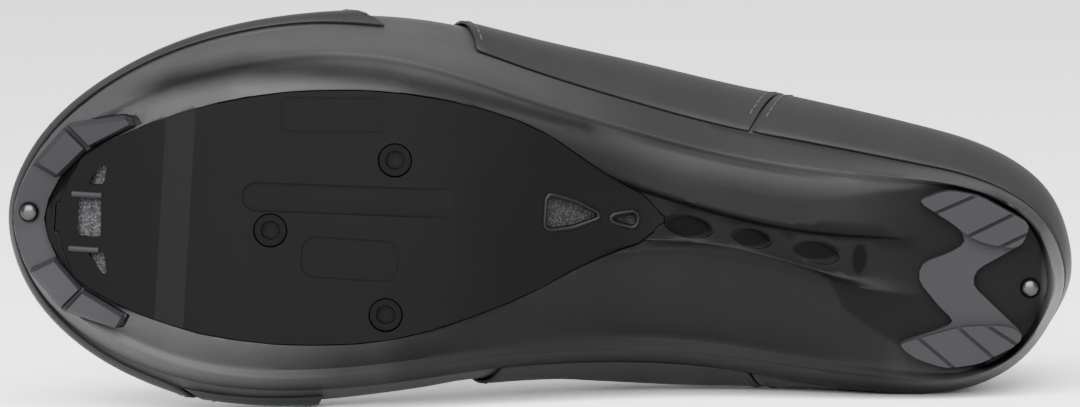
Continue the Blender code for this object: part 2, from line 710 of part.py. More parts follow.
def outsole(build):
    """Moulded sole: rim with its lip around the upper, ridge and groove, shank spine, heel cup."""
    sections = []
    for share in station_shares():
        lateral, medial = Side("lateral", share), Side("medial", share)
        lip_l, corner_l, floor_l = cup_lines(lateral)
        lip_m, corner_m, floor_m = cup_lines(medial)
        loop = [floor_l, corner_l, lip_l] + lateral.rim_lines() + underside(lateral, medial)
        loop += medial.rim_lines()[::-1] + [lip_m, corner_m, floor_m]
        sections.append(loop)
    obj = loft("outsole", sections)
    build.add(obj, "shell")
    build.cut(obj, bumper_form("bumper_step", GAP, BUMPER_THICKNESS))
    build.cut(obj, plate_form("plate_recess", GAP, PLATE_THICKNESS + GAP, RECESS_REACH))
    build.cut(obj, vent_form("toe_mesh_pocket", TOE_VENT, GAP, VENT_POCKET))
    build.cut(obj, vent_form("mid_mesh_pocket", MID_VENT, GAP, VENT_POCKET))
    for bolt, (name, centre) in enumerate(bolt_places().items()):
        build.cut(obj, cylinder(f"{name}_pocket", centre, INSERT_DIAMETER + 2 * GAP, 0.0,
                                plate_z(centre[0] / LENGTH) + INSERT_DEPTH + INSERT_HEIGHT + GAP))
    for k, recess in enumerate(SPINE_RECESSES):
        build.cut(obj, spine_recess(f"spine_recess_{k + 1}", *recess))
    build.cut(obj, crescent_recess())
    build.cut(obj, prism("heel_pad_seat", grown(pad_outline(), GAP), -PAD_FLOOR, PAD_FLOOR))
    build.cut(obj, screw_form("heel_screw_bore", heel_screw_place(), GAP))
    build.cut(obj, screw_form("toe_screw_bore", toe_screw_place(), GAP))
    return obj


# Oval recesses along the spine: place along and across, length and width, turn against the axis
SPINE_RECESSES = (
    ((0.3605, 0.0738), 0.0133, 0.0060, math.radians(10)),
    ((0.3007, 0.0544), 0.0108, 0.0050, math.radians(10)),
    ((0.2395, 0.0308), 0.0128, 0.0056, math.radians(11)),
)
# Crescent behind them: place, radii of its outer and inner curve, shift of the inner one
CRESCENT = {"place": (0.1904, 0.0123), "outer": 0.0046, "inner": 0.0029, "shift": 0.0030}
OVAL_STEPS = 16


def spot(place):
    """Plan point in metres from shares of the shoe's length and ball width."""
    return (place[0] * LENGTH, place[1] * BALL_WIDTH)


def spine_recess(name, place, length, width, turn):
    middle = spot(place)
    outline = []
    for k in range(OVAL_STEPS):
        angle = 2 * math.pi * k / OVAL_STEPS
        x, y = length / 2 * math.cos(angle), width / 2 * math.sin(angle)
        outline.append((middle[0] + x * math.cos(turn) - y * math.sin(turn),
                        middle[1] + x * math.sin(turn) + y * math.cos(turn)))
    keel = keel_z(place[0])
    return prism(name, outline, keel - CUT_REACH, keel + SPINE_RECESS_DEPTH)


def crescent_recess():
    """Crescent open towards the heel, around a level disc."""
    x, y = spot(CRESCENT["place"])
    outline = []
    for radius, shift, start, end in ((CRESCENT["outer"], 0.0, -110, 110),
                                      (CRESCENT["inner"], CRESCENT["shift"], 110, -110)):
        for k in range(OVAL_STEPS // 2 + 1):
            angle = math.radians(start + (end - start) * k / (OVAL_STEPS // 2))
            outline.append((x - shift + radius * math.cos(angle), y + radius * math.sin(angle)))
    keel = keel_z(CRESCENT["place"][0])
    return prism("crescent_recess", outline, keel - CUT_REACH, keel + SPINE_RECESS_DEPTH)


def plate_form(name, margin, height, below):
    """Forefoot plate's outline as a loft: the plate itself, or the recess that takes it."""
    reach = PLATE_TOE - PLATE_TAIL
    stops = [PLATE_TAIL + reach * (1 - math.cos(math.pi * k / PLATE_STEPS)) / 2
             for k in range(1, PLATE_STEPS)]
    spans = []
    for along in stops:
        lateral, medial = (PLATE_EDGE.at(s, along) * BALL_WIDTH for s in ("lateral", "medial"))
        near_end = min(along - PLATE_TAIL, PLATE_TOE - along) * LENGTH
        squeeze = min(1.0, math.sqrt(near_end / PLATE_NOSE))
        spans.append((along * LENGTH, (lateral + medial) / 2, (lateral - medial) / 2 * squeeze + margin))
    spans.insert(0, (PLATE_TAIL * LENGTH - margin, spans[0][1], PLATE_NOSE / 4))
    spans.append((PLATE_TOE * LENGTH + margin, spans[-1][1], PLATE_NOSE))
    sections = [plate_section(x, middle + half, middle - half, height, below) for x, middle, half in spans]
    return loft(name, sections, closed=False)


def plate_section(x, lateral, medial, height, below):
    along = x / LENGTH
    low = plate_z(along)
    spine = SHANK_RELIEF * (SPINE_HEIGHT.at("lateral_foot", along) - PLATE_LEVEL)
    low += spine
    bottom, top = low - below, low + height
    step = (lateral - medial) / 3
    upper_line = [(medial + step * k, top) for k in range(4)]
    lower_line = [(lateral - step * k, bottom) for k in range(4)]
    return [np.array([x, y, z]) for y, z in lower_line + upper_line]


def bolt_places():
    x, y = spot(BOLT_CENTRE)
    return {
        "cleat_insert_front": (x + BOLT_REACH, y),
        "cleat_insert_lateral": (x, y + BOLT_SPREAD / 2),
        "cleat_insert_medial": (x, y - BOLT_SPREAD / 2),
    }


def forefoot_plate(build):
    """Dark plate that takes the cleat: three bored bolt places, sight slot and air windows."""
    obj = plate_form("forefoot_plate", 0.0, PLATE_THICKNESS, 0.0)
    build.add(obj, "plate", angle=25)
    low = plate_z(BOLT_CENTRE[0])
    for name, centre in bolt_places().items():
        bore = INSERT_DIAMETER + 2 * GAP
        build.cut(obj, cylinder(f"{name}_bore", centre, bore, low - CUT_REACH, low + CUT_REACH))
    slot = rounded_box(spot(SLOT_CENTRE), SLOT_LENGTH, SLOT_WIDTH, SLOT_WIDTH * 0.48, SLOT_TURN)
    panel = rounded_box(spot(PANEL_CENTRE), PANEL_LENGTH, PANEL_WIDTH, PANEL_WIDTH * 0.3, steps=3)
    label = rounded_box(spot(LABEL_CENTRE), LABEL_LENGTH, LABEL_WIDTH, LABEL_WIDTH * 0.06, LABEL_TURN, 1)
    build.cut(obj, prism("sight_slot", slot, low - CUT_REACH, low + SLOT_DEPTH))
    build.cut(obj, prism("round_panel", panel, low - CUT_REACH, low + PANEL_DEPTH))
    build.cut(obj, prism("edge_panel", label, low - CUT_REACH, low + LABEL_DEPTH))
    for name, corners in {**TOE_WINDOWS, **MID_WINDOWS}.items():
        outline = rounded_outline([spot(corner) for corner in corners], WINDOW_ROUND, steps=2)
        build.cut(obj, prism(name, outline, -CUT_REACH, INSTEP_HEIGHT / 2))
    return obj


# Air vents: corners of their windows along and across, and the width of the mesh behind them
WINDOW_ROUND = 0.0012
TOE_WINDOWS = {
    "toe_window_middle": ((0.936, 0.057), (0.936, -0.050), (0.913, -0.050), (0.915, 0.057)),
    "toe_window_lateral": ((0.929, 0.094), (0.915, 0.155), (0.911, 0.155), (0.913, 0.094)),
    "toe_window_medial": ((0.926, -0.086), (0.910, -0.150), (0.905, -0.150), (0.909, -0.086)),
}
MID_WINDOWS = {
    "mid_window_front": ((0.494, 0.142), (0.494, 0.052), (0.470, 0.062), (0.444, 0.092), (0.470, 0.125)),
    "mid_window_rear": ((0.432, 0.090), (0.410, 0.104), (0.410, 0.066), (0.432, 0.080)),
}


TOE_VENT = Table(("along", "lateral", "medial"), [
    (0.901, 0.166, -0.161), (0.916, 0.166, -0.158), (0.930, 0.125, -0.115), (0.941, 0.085, -0.078),
])
MID_VENT = Table(("along", "lateral", "medial"), [
    (0.406, 0.116, 0.054), (0.432, 0.104, 0.066), (0.450, 0.112, 0.070), (0.472, 0.140, 0.050),
    (0.498, 0.154, 0.040),
])


def mesh_level(along):
    """Height of the face of a vent mesh, just behind the plate."""
    spine = SHANK_RELIEF * (SPINE_HEIGHT.at("lateral_foot", along) - PLATE_LEVEL)
    return plate_z(along) + spine + PLATE_THICKNESS + 2 * GAP


def vent_form(name, vent, margin, below):
    """Thin piece that follows the plate's slope: a vent mesh, or the pocket that takes it."""
    first, last = vent.stops[0] * LENGTH - margin, vent.stops[-1] * LENGTH + margin
    sections = []
    for k in range(VENT_STEPS + 1):
        x = first + (last - first) * k / VENT_STEPS
        low = mesh_level(x / LENGTH)
        medial = vent.at("medial", x / LENGTH) * BALL_WIDTH - margin
        lateral = vent.at("lateral", x / LENGTH) * BALL_WIDTH + margin
        high = low + MESH_THICKNESS + margin
        corners = ((medial, low - below), (lateral, low - below), (lateral, high), (medial, high))
        sections.append([np.array([x, y, z]) for y, z in corners])
    return loft(name, sections, closed=False)


def cleat_insert(build, name, centre):
    """Threaded insert for a cleat bolt: a short ring let into the plate."""
    low = plate_z(centre[0] / LENGTH) + INSERT_DEPTH
    ring = cylinder(name, centre, INSERT_DIAMETER, low, low + INSERT_HEIGHT)
    build.add(ring, "insert", angle=40)
    build.cut(ring, cylinder(f"{name}_thread", centre, BOLT_BORE, low - CUT_REACH, low + CUT_REACH))
    return ring


def heel_screw_place():
    x = HEEL_SCREW_INSET
    return (x, HEEL_SCREW_ACROSS * BALL_WIDTH, keel_z(x / LENGTH) + PAD_FLOOR)


def toe_screw_place():
    x = LENGTH - TOE_SCREW_INSET
    return (x, TOE_SCREW_ACROSS * BALL_WIDTH, bumper_low(x / LENGTH) + BUMPER_THICKNESS * 0.35)


def screw_form(name, place, margin):
    """Pan head screw as a turned solid, or with a margin the bore that takes it."""
    x, y, z = place
    head, shank = SCREW_HEAD / 2 + margin, SCREW_SHANK / 2 + margin
    tip, seat = z + SCREW_LENGTH + margin, z + SCREW_SEAT + margin
    profile = [(0.0, tip), (shank, tip), (shank, seat), (head, seat)]
    if margin:
        well = z - SCREW_HEAD_HEIGHT - SCREW_WELL
        profile += [(head, well), (0.0, well)]
    else:
        face, rim = z - SCREW_HEAD_HEIGHT, z - SCREW_RIM
        profile += [(head, rim), (head * 0.80, z - SCREW_HEAD_HEIGHT * 0.80)]
        profile += [(head * 0.42, face), (0.0, face)]
    mesh = bpy.data.meshes.new(name)
    mesh.from_pydata([(r, 0.0, h) for r, h in profile], [(k, k + 1) for k in range(len(profile) - 1)], [])
    obj = bpy.data.objects.new(name, mesh)
    obj.location = (x, y, 0.0)
    turn = obj.modifiers.new("turned", "SCREW")
    turn.angle = 2 * math.pi
    turn.steps = turn.render_steps = SCREW_STEPS
    turn.use_merge_vertices = True
    turn.merge_threshold = WELD / 2
    return obj


def bumper_low(along):
    return keel_z(along) + RIM_HEIGHT * RIM.at("ridge", along) - BUMPER_THICKNESS * 0.75


# Lugs of the toe bumper: from and to as shares of the bumper's reach, lateral side positive
LUGS = ((0.36, 0.61), (0.65, 0.95), (-0.62, -0.35), (-0.97, -0.66))
LUG_SLOPE = 0.03
BUMPER_MIDDLE = (-0.18, 0.00, 0.18)
BUMPER_EDGE = 0.0012
BUMPER_OVERRUN = 1.02
BUMPER_ACROSS = Table(("reach", "lat_outer", "lat_inner", "med_outer", "med_inner"), [
    (0.00, 0.03, 0.55, 0.03, 0.55),
    (0.25, 0.03, 0.53, 0.06, 0.58),
    (0.50, 0.05, 0.57, 0.12, 0.64),
    (0.70, 0.08, 0.65, 0.18, 0.68),
    (0.85, 0.28, 0.71, 0.26, 0.72),
    (0.95, 0.52, 0.76, 0.40, 0.745),
    (1.00, 0.68, 0.775, 0.56, 0.755),
])


def lug_height(reach):
    return LUG_HEIGHT if any(start <= reach <= end for start, end in LUGS) else 0.0


def bumper_form(name, margin, below):
    """Crescent around the toe: the bumper itself, or the step in the sole that takes it."""
    ends = {v for lug in LUGS for v in (lug[0] - LUG_SLOPE, lug[0], lug[1], lug[1] + LUG_SLOPE)}
    stops = sorted(ends.union(BUMPER_MIDDLE))
    if margin:
        stops = [-BUMPER_OVERRUN, *stops[1:-1], BUMPER_OVERRUN]
    sections = []
    for reach in stops:
        side = Side("lateral" if reach >= 0 else "medial", abs(reach) * BUMPER_SHARE)
        outer = BUMPER_ACROSS.at(side.short + "_outer", abs(reach)) * RIM_WIDTH - margin
        inner = BUMPER_ACROSS.at(side.short + "_inner", abs(reach)) * RIM_WIDTH + margin
        low = bumper_low(side.along) - below
        high = bumper_low(side.along) + BUMPER_THICKNESS + margin
        face = low - (0.0 if margin else lug_height(reach))
        sections.append([
            side.at_level(outer, high),
            side.at_level(outer, low),
            side.at_level(outer + BUMPER_EDGE, face),
            side.at_level(inner - BUMPER_EDGE, face),
            side.at_level(inner, low),
            side.at_level(inner, high),
        ])
    return loft(name, sections, closed=False)


def toe_bumper(build):
    obj = bumper_form("toe_bumper", 0.0, 0.0)
    build.add(obj, "bumper", angle=20)
    build.cut(obj, screw_form("toe_screw_hole", toe_screw_place(), GAP))
    return obj


# Heel pad in plan: roundness of its corners, then the corners of the whole boomerang and of its two
# raised wings, along and across
PAD_ROUND = 0.0022
PAD_OUTLINE = (
    (0.148, 0.198), (0.120, 0.232), (0.090, 0.222), (0.050, 0.168), (0.040, 0.150), (0.046, 0.096),
    (0.064, 0.062), (0.088, 0.018), (0.091, -0.024), (0.060, -0.100), (0.040, -0.148), (0.044, -0.176),
    (0.078, -0.234), (0.110, -0.254), (0.140, -0.232), (0.158, -0.196), (0.118, -0.150), (0.104, -0.128),
    (0.120, -0.090), (0.142, -0.020), (0.140, 0.026), (0.112, 0.062), (0.098, 0.092), (0.110, 0.140),
)
WING_LATERAL = (
    (0.148, 0.198), (0.120, 0.232), (0.090, 0.222), (0.050, 0.168), (0.040, 0.150), (0.046, 0.096),
    (0.056, 0.084), (0.080, 0.092), (0.098, 0.110), (0.112, 0.140),
)
WING_MEDIAL = (
    (0.158, -0.196), (0.118, -0.156), (0.100, -0.138), (0.070, -0.128), (0.052, -0.128), (0.040, -0.148),
    (0.044, -0.176), (0.078, -0.234), (0.110, -0.254), (0.140, -0.232),
)
GROOVES = (
    ((0.134, 0.162), (0.086, 0.232)),
    ((0.098, 0.110), (0.050, 0.188)),
    ((0.070, 0.082), (0.030, 0.146)),
    ((0.138, -0.176), (0.098, -0.262)),
    ((0.108, -0.126), (0.056, -0.240)),
    ((0.082, -0.118), (0.030, -0.202)),
)


def plan(corners):
    return [spot(corner) for corner in corners]


def pad_outline():
    return rounded_outline(plan(PAD_OUTLINE), PAD_ROUND, steps=2)


def heel_pad(build):
    """Replaceable heel pad: a smooth web with two raised wings cut by tread grooves."""
    floor = PAD_FLOOR - GAP
    web = prism("heel_pad", pad_outline(), floor - PAD_WEB_THICKNESS, floor)
    build.add(web, "bumper", angle=28)
    for name, corners in (("wing_lateral", WING_LATERAL), ("wing_medial", WING_MEDIAL)):
        wing = rounded_outline(plan(corners), PAD_ROUND, steps=2)
        low, high = floor - PAD_WING_THICKNESS, floor - PAD_WEB_THICKNESS / 2
        build.cut(web, prism(name, wing, low, high), "UNION")
    for k, (start, end) in enumerate(GROOVES):
        a, b = (np.array(p) for p in plan((start, end)))
        middle, run = (a + b) / 2, b - a
        outline = rounded_box(tuple(middle), float(np.linalg.norm(run)), TREAD_GROOVE, TREAD_GROOVE * 0.2,
                              math.atan2(run[1], run[0]), steps=1)
        low = floor - PAD_WING_THICKNESS
        build.cut(web, prism(f"tread_groove_{k + 1}", outline, low - TREAD_DEPTH, low + TREAD_DEPTH))
    return web


def upper_rows(side_name):
    return [Side(side_name, share).wall() for share in station_shares()]


def upper(build):
    """Hollow upper: one wall from its turned-in margin over the foot to throat and collar."""
    sheets = [
        grid_sheet("upper_lateral", upper_rows("lateral"), False),
        grid_sheet("upper_medial", upper_rows("medial"), True),
    ]
    obj = joined_sheet("upper", sheets)
    thicken(obj, UPPER_WALL, outward=False)
    return build.add(obj, "upper", angle=50)


def patch_rows(side_name, front, rear, up):
    """Rows of an overlay on the upper's own grid, trimmed at edges that lean from foot to top."""
    shares = [u for u in station_shares() if min(front) < u < max(rear)]
    shares = [min(front)] + shares + [max(rear)]
    top = SIDE_STEPS + WALL_STEPS + 2
    rows = []
    for share in shares:
        row = []
        for place in [2.0] + [float(k) for k in range(3, math.ceil(up))] + [up]:
            rise = (place - 2) / (top - 2)
            first = front[0] + (front[1] - front[0]) * rise
            last = rear[0] + (rear[1] - rear[0]) * rise
            trimmed = min(max(share, first), last)
            if first > 0.0 and trimmed < first + EDGE_SNAP:
                trimmed = first
            if last < 1.0 and trimmed > last - EDGE_SNAP:
                trimmed = last
            if place == 2.0:
                place += OVERLAY_CLEAR * SIDE_STEPS / (RIM_HEIGHT * UPPER.at("wide", trimmed))
            row.append(wall_point(side_name, trimmed, place, OVERLAY_GAP))
        rows.append(row)
    return rows


def wall_point(side_name, share, place, offset):
    """Point of the upper's wall between two of its grid points."""
    wall = Side(side_name, share).wall(offset)
    low = min(int(place), len(wall) - 2)
    return wall[low] + (wall[low + 1] - wall[low]) * (place - low)


def overlay(build, name, edges):
    """Overlay on the upper: one side's sheet, or both welded where they wrap an end of the shoe."""
    sheets = []
    for side_name, (front, rear, up) in edges.items():
        rows = patch_rows(side_name, front, rear, up)
        sheets.append(grid_sheet(f"{name}_{side_name}", rows, side_name == "medial"))
    obj = joined_sheet(name, sheets)
    thicken(obj, OVERLAY_THICKNESS, outward=True)
    return build.add(obj, "overlay", angle=40)


def bridge(medial, lateral, bulge, steps):
    """Points of a shallow arch between two points, both left out."""
    points = []
    for k in range(1, steps):
        t = k / steps
        point = medial + (lateral - medial) * t
        points.append(point + np.array([0.0, 0.0, bulge * 4 * t * (1 - t)]))
    return points


def strap(build, name, size):
    """Hook-and-loop strap from the medial eyestay over the throat to the lateral one."""
    offset = OVERLAY_GAP + OVERLAY_THICKNESS + GAP
    rows = []
    for c in range(STRAP_STEPS + 1):
        share = size["from"] + (size["to"] - size["from"]) * c / STRAP_STEPS
        medial, lateral = (Side(s, share).wall(offset) for s in ("medial", "lateral"))
        arch = bridge(medial[-1], lateral[-1], STRAP_BULGE, ARCH_STEPS)
        rows.append(medial[size["medial"]:] + arch + lateral[:size["lateral"] - 1:-1])
    sheet = grid_sheet(name, rows, True)
    thicken(sheet, STRAP_THICKNESS, outward=True)
    return build.add(sheet, "fabric", angle=40)


def tongue(build):
    """Tongue under the throat, from below the vamp to above the instep."""
    offset = -(UPPER_WALL + 3 * GAP + TONGUE_THICKNESS)
    rows = []
    start, end = TONGUE_SPAN
    shares = [start + (end - start) * c / TONGUE_STEPS for c in range(TONGUE_STEPS + 1)]
    for share in shares:
        medial, lateral = (Side(s, share).wall(offset) for s in ("medial", "lateral"))
        rows.append(medial[-3:] + bridge(medial[-1], lateral[-1], STRAP_BULGE, ARCH_STEPS) + lateral[:-4:-1])
    sheet = grid_sheet("tongue", rows, True)
    thicken(sheet, TONGUE_THICKNESS, outward=True)
    return build.add(sheet, "fabric", angle=40)


def insole(build):
    """Footbed inside the upper, its rim cupped up at the wall."""
    sections = []
    for share in station_shares():
        loop = []
        for side_name in ("lateral", "medial"):
            side = Side(side_name, share)
            wall = side.floor_inset() + 2 * GAP + UPPER_WALL
            base = seat_z(side.along) + UPPER_WALL + GAP
            line = [
                side.at_level(wall + RIM_WIDTH * 0.75, base),
                side.at_level(wall + RIM_WIDTH * 0.12, base),
                side.at_level(wall + RIM_WIDTH * 0.04, base + INSOLE_THICKNESS),
                side.at_level(wall + RIM_WIDTH * 0.50, base + INSOLE_THICKNESS * 0.9),
            ]
            loop += line if side_name == "lateral" else line[::-1]
        sections.append(loop)
    return build.add(loft("insole", sections), "fabric")


def lay_down(build):
    """Turns the finished shoe onto its medial side and puts it on the plane z = 0."""
    bpy.context.view_layer.update()
    graph = bpy.context.evaluated_depsgraph_get()
    corners, weight, moment = [], 0.0, Vector()
    for obj in build.parts.objects:
        if obj.type != "MESH":
            continue
        shape = obj.evaluated_get(graph)
        mesh = shape.to_mesh()
        mesh.calc_loop_triangles()
        place = obj.matrix_local
        density = MATERIALS[obj.data.materials[0].name.rsplit("_", 1)[1]]["density"]
        points = [place @ v.co for v in mesh.vertices]
        for triangle in mesh.loop_triangles:
            a, b, c = (points[k] for k in triangle.vertices)
            mass = a.dot(b.cross(c)) / 6 * density
            weight += mass
            moment += (a + b + c) / 4 * mass
        corners += points
        shape.to_mesh_clear()
    centre = moment / weight
    lying = Matrix(((-1, 0, 0), (0, 0, 1), (0, 1, 0)))
    down = resting_normal(corners, centre)
    turned_down = lying @ down
    turn = turned_down.rotation_difference(Vector((0, 0, -1))).to_matrix()
    rest = (turn @ lying).to_4x4()
    placed = [rest @ p for p in corners]
    low = [min(p[k] for p in placed) for k in range(3)]
    high = [max(p[k] for p in placed) for k in range(3)]
    shift = Vector((-(low[0] + high[0]) / 2, -(low[1] + high[1]) / 2, -low[2]))
    build.pose.matrix_world = Matrix.Translation(shift) @ rest


def resting_normal(corners, centre):
    """Outward normal of the convex face that lies under the centre of mass on the medial side."""
    bm = bmesh.new()
    for corner in corners:
        bm.verts.new(corner)
    hull = bmesh.ops.convex_hull(bm, input=bm.verts)
    faces = [item for item in hull["geom"] if isinstance(item, bmesh.types.BMFace)]
    down = Vector((0, -1, 0))
    for attempt in range(20):
        best = None
        for face in faces:
            face.normal_update()
            normal = face.normal if face.normal.dot(face.calc_center_median() - centre) > 0 else -face.normal
            facing = normal.dot(down)
            if facing < 0.2:
                continue
            reach = normal.dot(face.verts[0].co - centre) / facing
            if best is None or reach < best[0]:
                best = (reach, normal.copy())
        if (best[1] - down).length < 1e-7:
            break
        down = best[1]
    bm.free()
    return down


def main():
    build = Build()
    outsole(build)
    forefoot_plate(build)
    toe_bumper(build)
    heel_pad(build)
    build.add(screw_form("toe_screw", toe_screw_place(), 0.0), "steel")
    build.add(screw_form("heel_screw", heel_screw_place(), 0.0), "steel")
    build.add(vent_form("toe_vent_mesh", TOE_VENT, 0.0, 0.0), "mesh")
    build.add(vent_form("mid_vent_mesh", MID_VENT, 0.0, 0.0), "mesh")
    for name, centre in bolt_places().items():
        cleat_insert(build, name, centre)
    upper(build)
    insole(build)
    tongue(build)
    start, end = (0.0, 0.0), (1.0, 1.0)
    sides = ("lateral", "medial")
    overlay(build, "toe_overlay", {s: (start, TOE_OVERLAY[s], TOE_OVERLAY["up"]) for s in sides})
    overlay(build, "heel_counter", {s: (COUNTER["front"], end, COUNTER["up"]) for s in sides})
    overlay(build, "forefoot_overlay_medial", {"medial": tuple(FOREFOOT_OVERLAY.values())})
    overlay(build, "quarter_overlay_lateral", {"lateral": tuple(QUARTER_LATERAL.values())})
    overlay(build, "quarter_overlay_medial", {"medial": tuple(QUARTER_MEDIAL.values())})
    for name, size in STRAPS.items():
        strap(build, name, size)
    lay_down(build)


main()
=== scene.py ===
"""Looks of the left road cycling shoe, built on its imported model. Units are metres."""
import math

import bmesh
import bpy
from mathutils import Matrix, Vector
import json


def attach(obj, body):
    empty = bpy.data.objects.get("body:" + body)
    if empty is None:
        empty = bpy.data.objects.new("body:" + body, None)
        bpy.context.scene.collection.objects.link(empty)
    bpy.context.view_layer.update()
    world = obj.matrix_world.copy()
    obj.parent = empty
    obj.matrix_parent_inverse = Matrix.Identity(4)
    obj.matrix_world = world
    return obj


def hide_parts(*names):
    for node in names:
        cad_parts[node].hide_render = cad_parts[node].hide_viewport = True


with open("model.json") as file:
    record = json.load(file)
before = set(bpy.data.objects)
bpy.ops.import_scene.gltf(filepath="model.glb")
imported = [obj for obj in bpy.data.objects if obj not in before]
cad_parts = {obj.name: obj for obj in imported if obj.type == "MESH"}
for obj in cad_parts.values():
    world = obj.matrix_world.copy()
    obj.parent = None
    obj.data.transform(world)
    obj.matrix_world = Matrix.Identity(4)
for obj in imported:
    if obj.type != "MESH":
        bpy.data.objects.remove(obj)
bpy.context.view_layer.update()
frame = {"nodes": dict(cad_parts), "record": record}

bl_info = {
    "name": "Road cycling shoe",
    "version": (1, 0, 0),
    "blender": (4, 5, 0),
    "location": "View3D > Sidebar > Shoe",
    "description": "Dresses the packed cycling shoe and sets its stage",
    "category": "Object",
}

MM_PER_METRE = 1000.0

# Shoe coordinates: x forward from the heel, y outwards, z up from the sole. Both named flat faces
# of the record are known points there, so they give the shoe's place in the row frame.
CLEAT_POINT = Vector((0.198, -0.020, 0.0012))
HEEL_POINT = Vector((0.0239, 0.0195, 0.0))

# Photo: its size, the scale at the sole, and how the view stands to the shoe
PHOTO_SIZE = (1080, 407)
METRES_PER_PIXEL = 0.0002654
VIEW_CENTRE = (0.1409, 0.0109, 0.015)
VIEW_LEAN = math.radians(6.0)
VIEW_ROLL = math.radians(3.52)
VIEW_DISTANCE = 3.0
SENSOR_WIDTH = 36.0
CLIP_START = 0.05

# Bands of the sole as (along from the heel, lateral edge, medial edge), in millimetres across the
# shoe
# as the leaning view shows it: the glossy dark floor of the shank and around the heel pad, the
# waist's painted shade, and the painted shade of the groove inside the lateral ridge
DARK_FLOOR = (
    (4, 14.0, -16.0), (12, 19.5, -21.0), (20, 23.0, -24.5), (32, 24.0, -25.0), (42, 23.0, -20.5),
    (52, 21.2, -15.0), (59, 19.6, -10.5), (63, 18.6, -3.2), (69, 17.2, -0.6), (73, 12.6, 0.4),
    (82, 12.4, 2.8), (90, 13.2, 4.0), (98, 15.2, 3.8), (106, 17.2, 3.2), (114, 19.2, 2.2),
    (122, 22.0, 0.6), (130, 25.0, -1.4), (138, 27.5, -3.6), (150, 30.0, -10.0),
    (170, 30.0, -24.0), (240, 24.0, -24.0), (262, 21.0, -21.0), (270, 16.5, -16.5),
    (276, 11.0, -11.0), (281, 6.0, -6.0),
)
WAIST_SHADE = (
    (6, 24.0, -60.0), (28, 26.0, -60.0), (60, 24.6, -60.0), (78, 25.6, -60.0), (105, 28.8, -60.0),
    (137, 37.0, -60.0), (159, 41.4, -60.0), (176, 43.0, -60.0), (216, 45.0, -60.0),
)
GROOVE_SHADE = (
    (118, 33.5, 28.0), (159, 42.6, 36.4), (184, 47.0, 40.4), (204, 47.8, 41.2), (222, 46.2, 40.2),
    (240, 41.6, 36.0), (254, 36.0, 30.5),
)
# How wide each band's edges blur, in millimetres, and how strong the painted shade of the waist and
# the groove is
FLOOR_BLUR = 1.4
WAIST_BLUR = 16.0
WAIST_STRENGTH = 0.84
GROOVE_BLUR = 4.5
GROOVE_STRENGTH = 0.82
# How much longer than its sides' blur a band's ends fade out
END_SOFTNESS = 2.6
# Rims with painted shade: strength, and from where to where the painted shade grows, in
# millimetres:
# across, along from the front, and along from the rear
MEDIAL_RIM_SHADE = (0.72, (-10.0, -26.0), (235.0, 190.0), (20.0, 40.0))
REAR_RIM_SHADE = (0.50, (18.0, 30.0), (165.0, 115.0), (15.0, 45.0))
# Recesses of the spine, darkened with painted shade: middle along and across, half length and half
# width, in millimetres, then how steep and how far out the painted shade's edge reaches
PITS = (
    (101.3, 8.9, 6.4, 2.8), (84.5, 7.0, 5.3, 2.3), (67.3, 4.6, 6.2, 2.5), (55.6, 3.0, 2.0, 4.2),
)
PIT_STEEPNESS = 5.0
PIT_REACH = 0.3
# Change of a painted share across a face from which the face is made finer
FINER_FROM = 0.15

# Lighter strip across the front of the plate, along from the heel, and the blur of its edges
STRIP = (0.2334, 0.2408)
STRIP_BLUR = 0.0004
# Ribs between the toe vent's windows, in millimetres: from and to along, and across; and how deep
# in metres their middles lie in the plate
VENT_RIBS = ((264.8, 256.8, 7.4), (264.8, 256.8, -7.2))
RIB_DEPTH = 0.0003
# Largest width, length and place along of the plate's windows that get a frame
WINDOW_WIDTH = 0.016
WINDOW_LENGTH = 0.020
WINDOW_FRONT = 0.145
# How far below the sole a look at it starts
LOOK_START = 0.05

# Part of the upper's top edge that the collar's binding covers, in shoe coordinates, the middle
# that the binding runs around, and how deep it lies under the upper's outer face
COLLAR_REACH = 0.104
COLLAR_LOW = 0.045
COLLAR_MIDDLE = 0.06
BINDING_DEPTH = 0.0008
# Core line of the foot's space, and how far outwards from it, of 1, a face of a node's outer
# sheet looks
CORE_HEIGHT = 0.055
CORE_REAR = 0.045
CORE_FRONT = 0.225
SHEET_TURN = 0.30

# Stitches: their pitch, how far they lie from the border and from the sole, their height over the
# skin, the bare share at each end, and between which lengths a stitch is made
STITCH_PITCH = 0.0030
STITCH_INSET = 0.0019
STITCH_CLEARANCE = 0.0045
STITCH_LIFT = 0.00005
STITCH_BARE = 0.14
STITCH_SHORTEST = 0.5 * STITCH_PITCH
STITCH_LONGEST = 1.8 * STITCH_PITCH

# Working of the meshes, with angles in degrees
MERGE_DISTANCE = 0.00001
QUAD_ANGLE = 50
SOFT_ANGLE = 60
ROUNDING_LEVELS = 2
BEVEL_SEGMENTS = 2
CORD_RESOLUTION = 2

# Stage
FLOOR_SIZE = 8.0
SKY_STRENGTH = 1.4
KEY_LIGHT_PLACE = Vector((-0.25, -1.90, 1.35))
KEY_LIGHT_TARGET = Vector((0.0, 0.0, 0.02))
KEY_LIGHT_SIZE = 2.4
KEY_LIGHT_POWER = 400.0


# Place of the shoe

def mount(name):
    return next(m for m in frame["record"]["mounts"] if m["name"] == name)


def shoe_matrix():
    """Matrix from shoe coordinates to the row frame, from the two flat faces in the record."""
    cleat, heel = (Vector(mount(n)["pos_m"]) for n in ("cleat_face", "heel_pad_face"))
    up = -Vector(mount("cleat_face")["axis"]).normalized()
    known = CLEAT_POINT - HEEL_POINT
    run = cleat - heel
    run = (run - up * run.dot(up)).normalized()
    turn = Matrix.Rotation(-math.atan2(known.y, known.x), 3, up)
    forward = turn @ run
    side = up.cross(forward)
    axes = Matrix((forward, side, up)).transposed()
    place = cleat - axes @ CLEAT_POINT
    return Matrix.Translation(place) @ axes.to_4x4()


SHOE = shoe_matrix()
SHOE_X, SHOE_Y, SHOE_Z = (SHOE.to_3x3().col[k] for k in range(3))


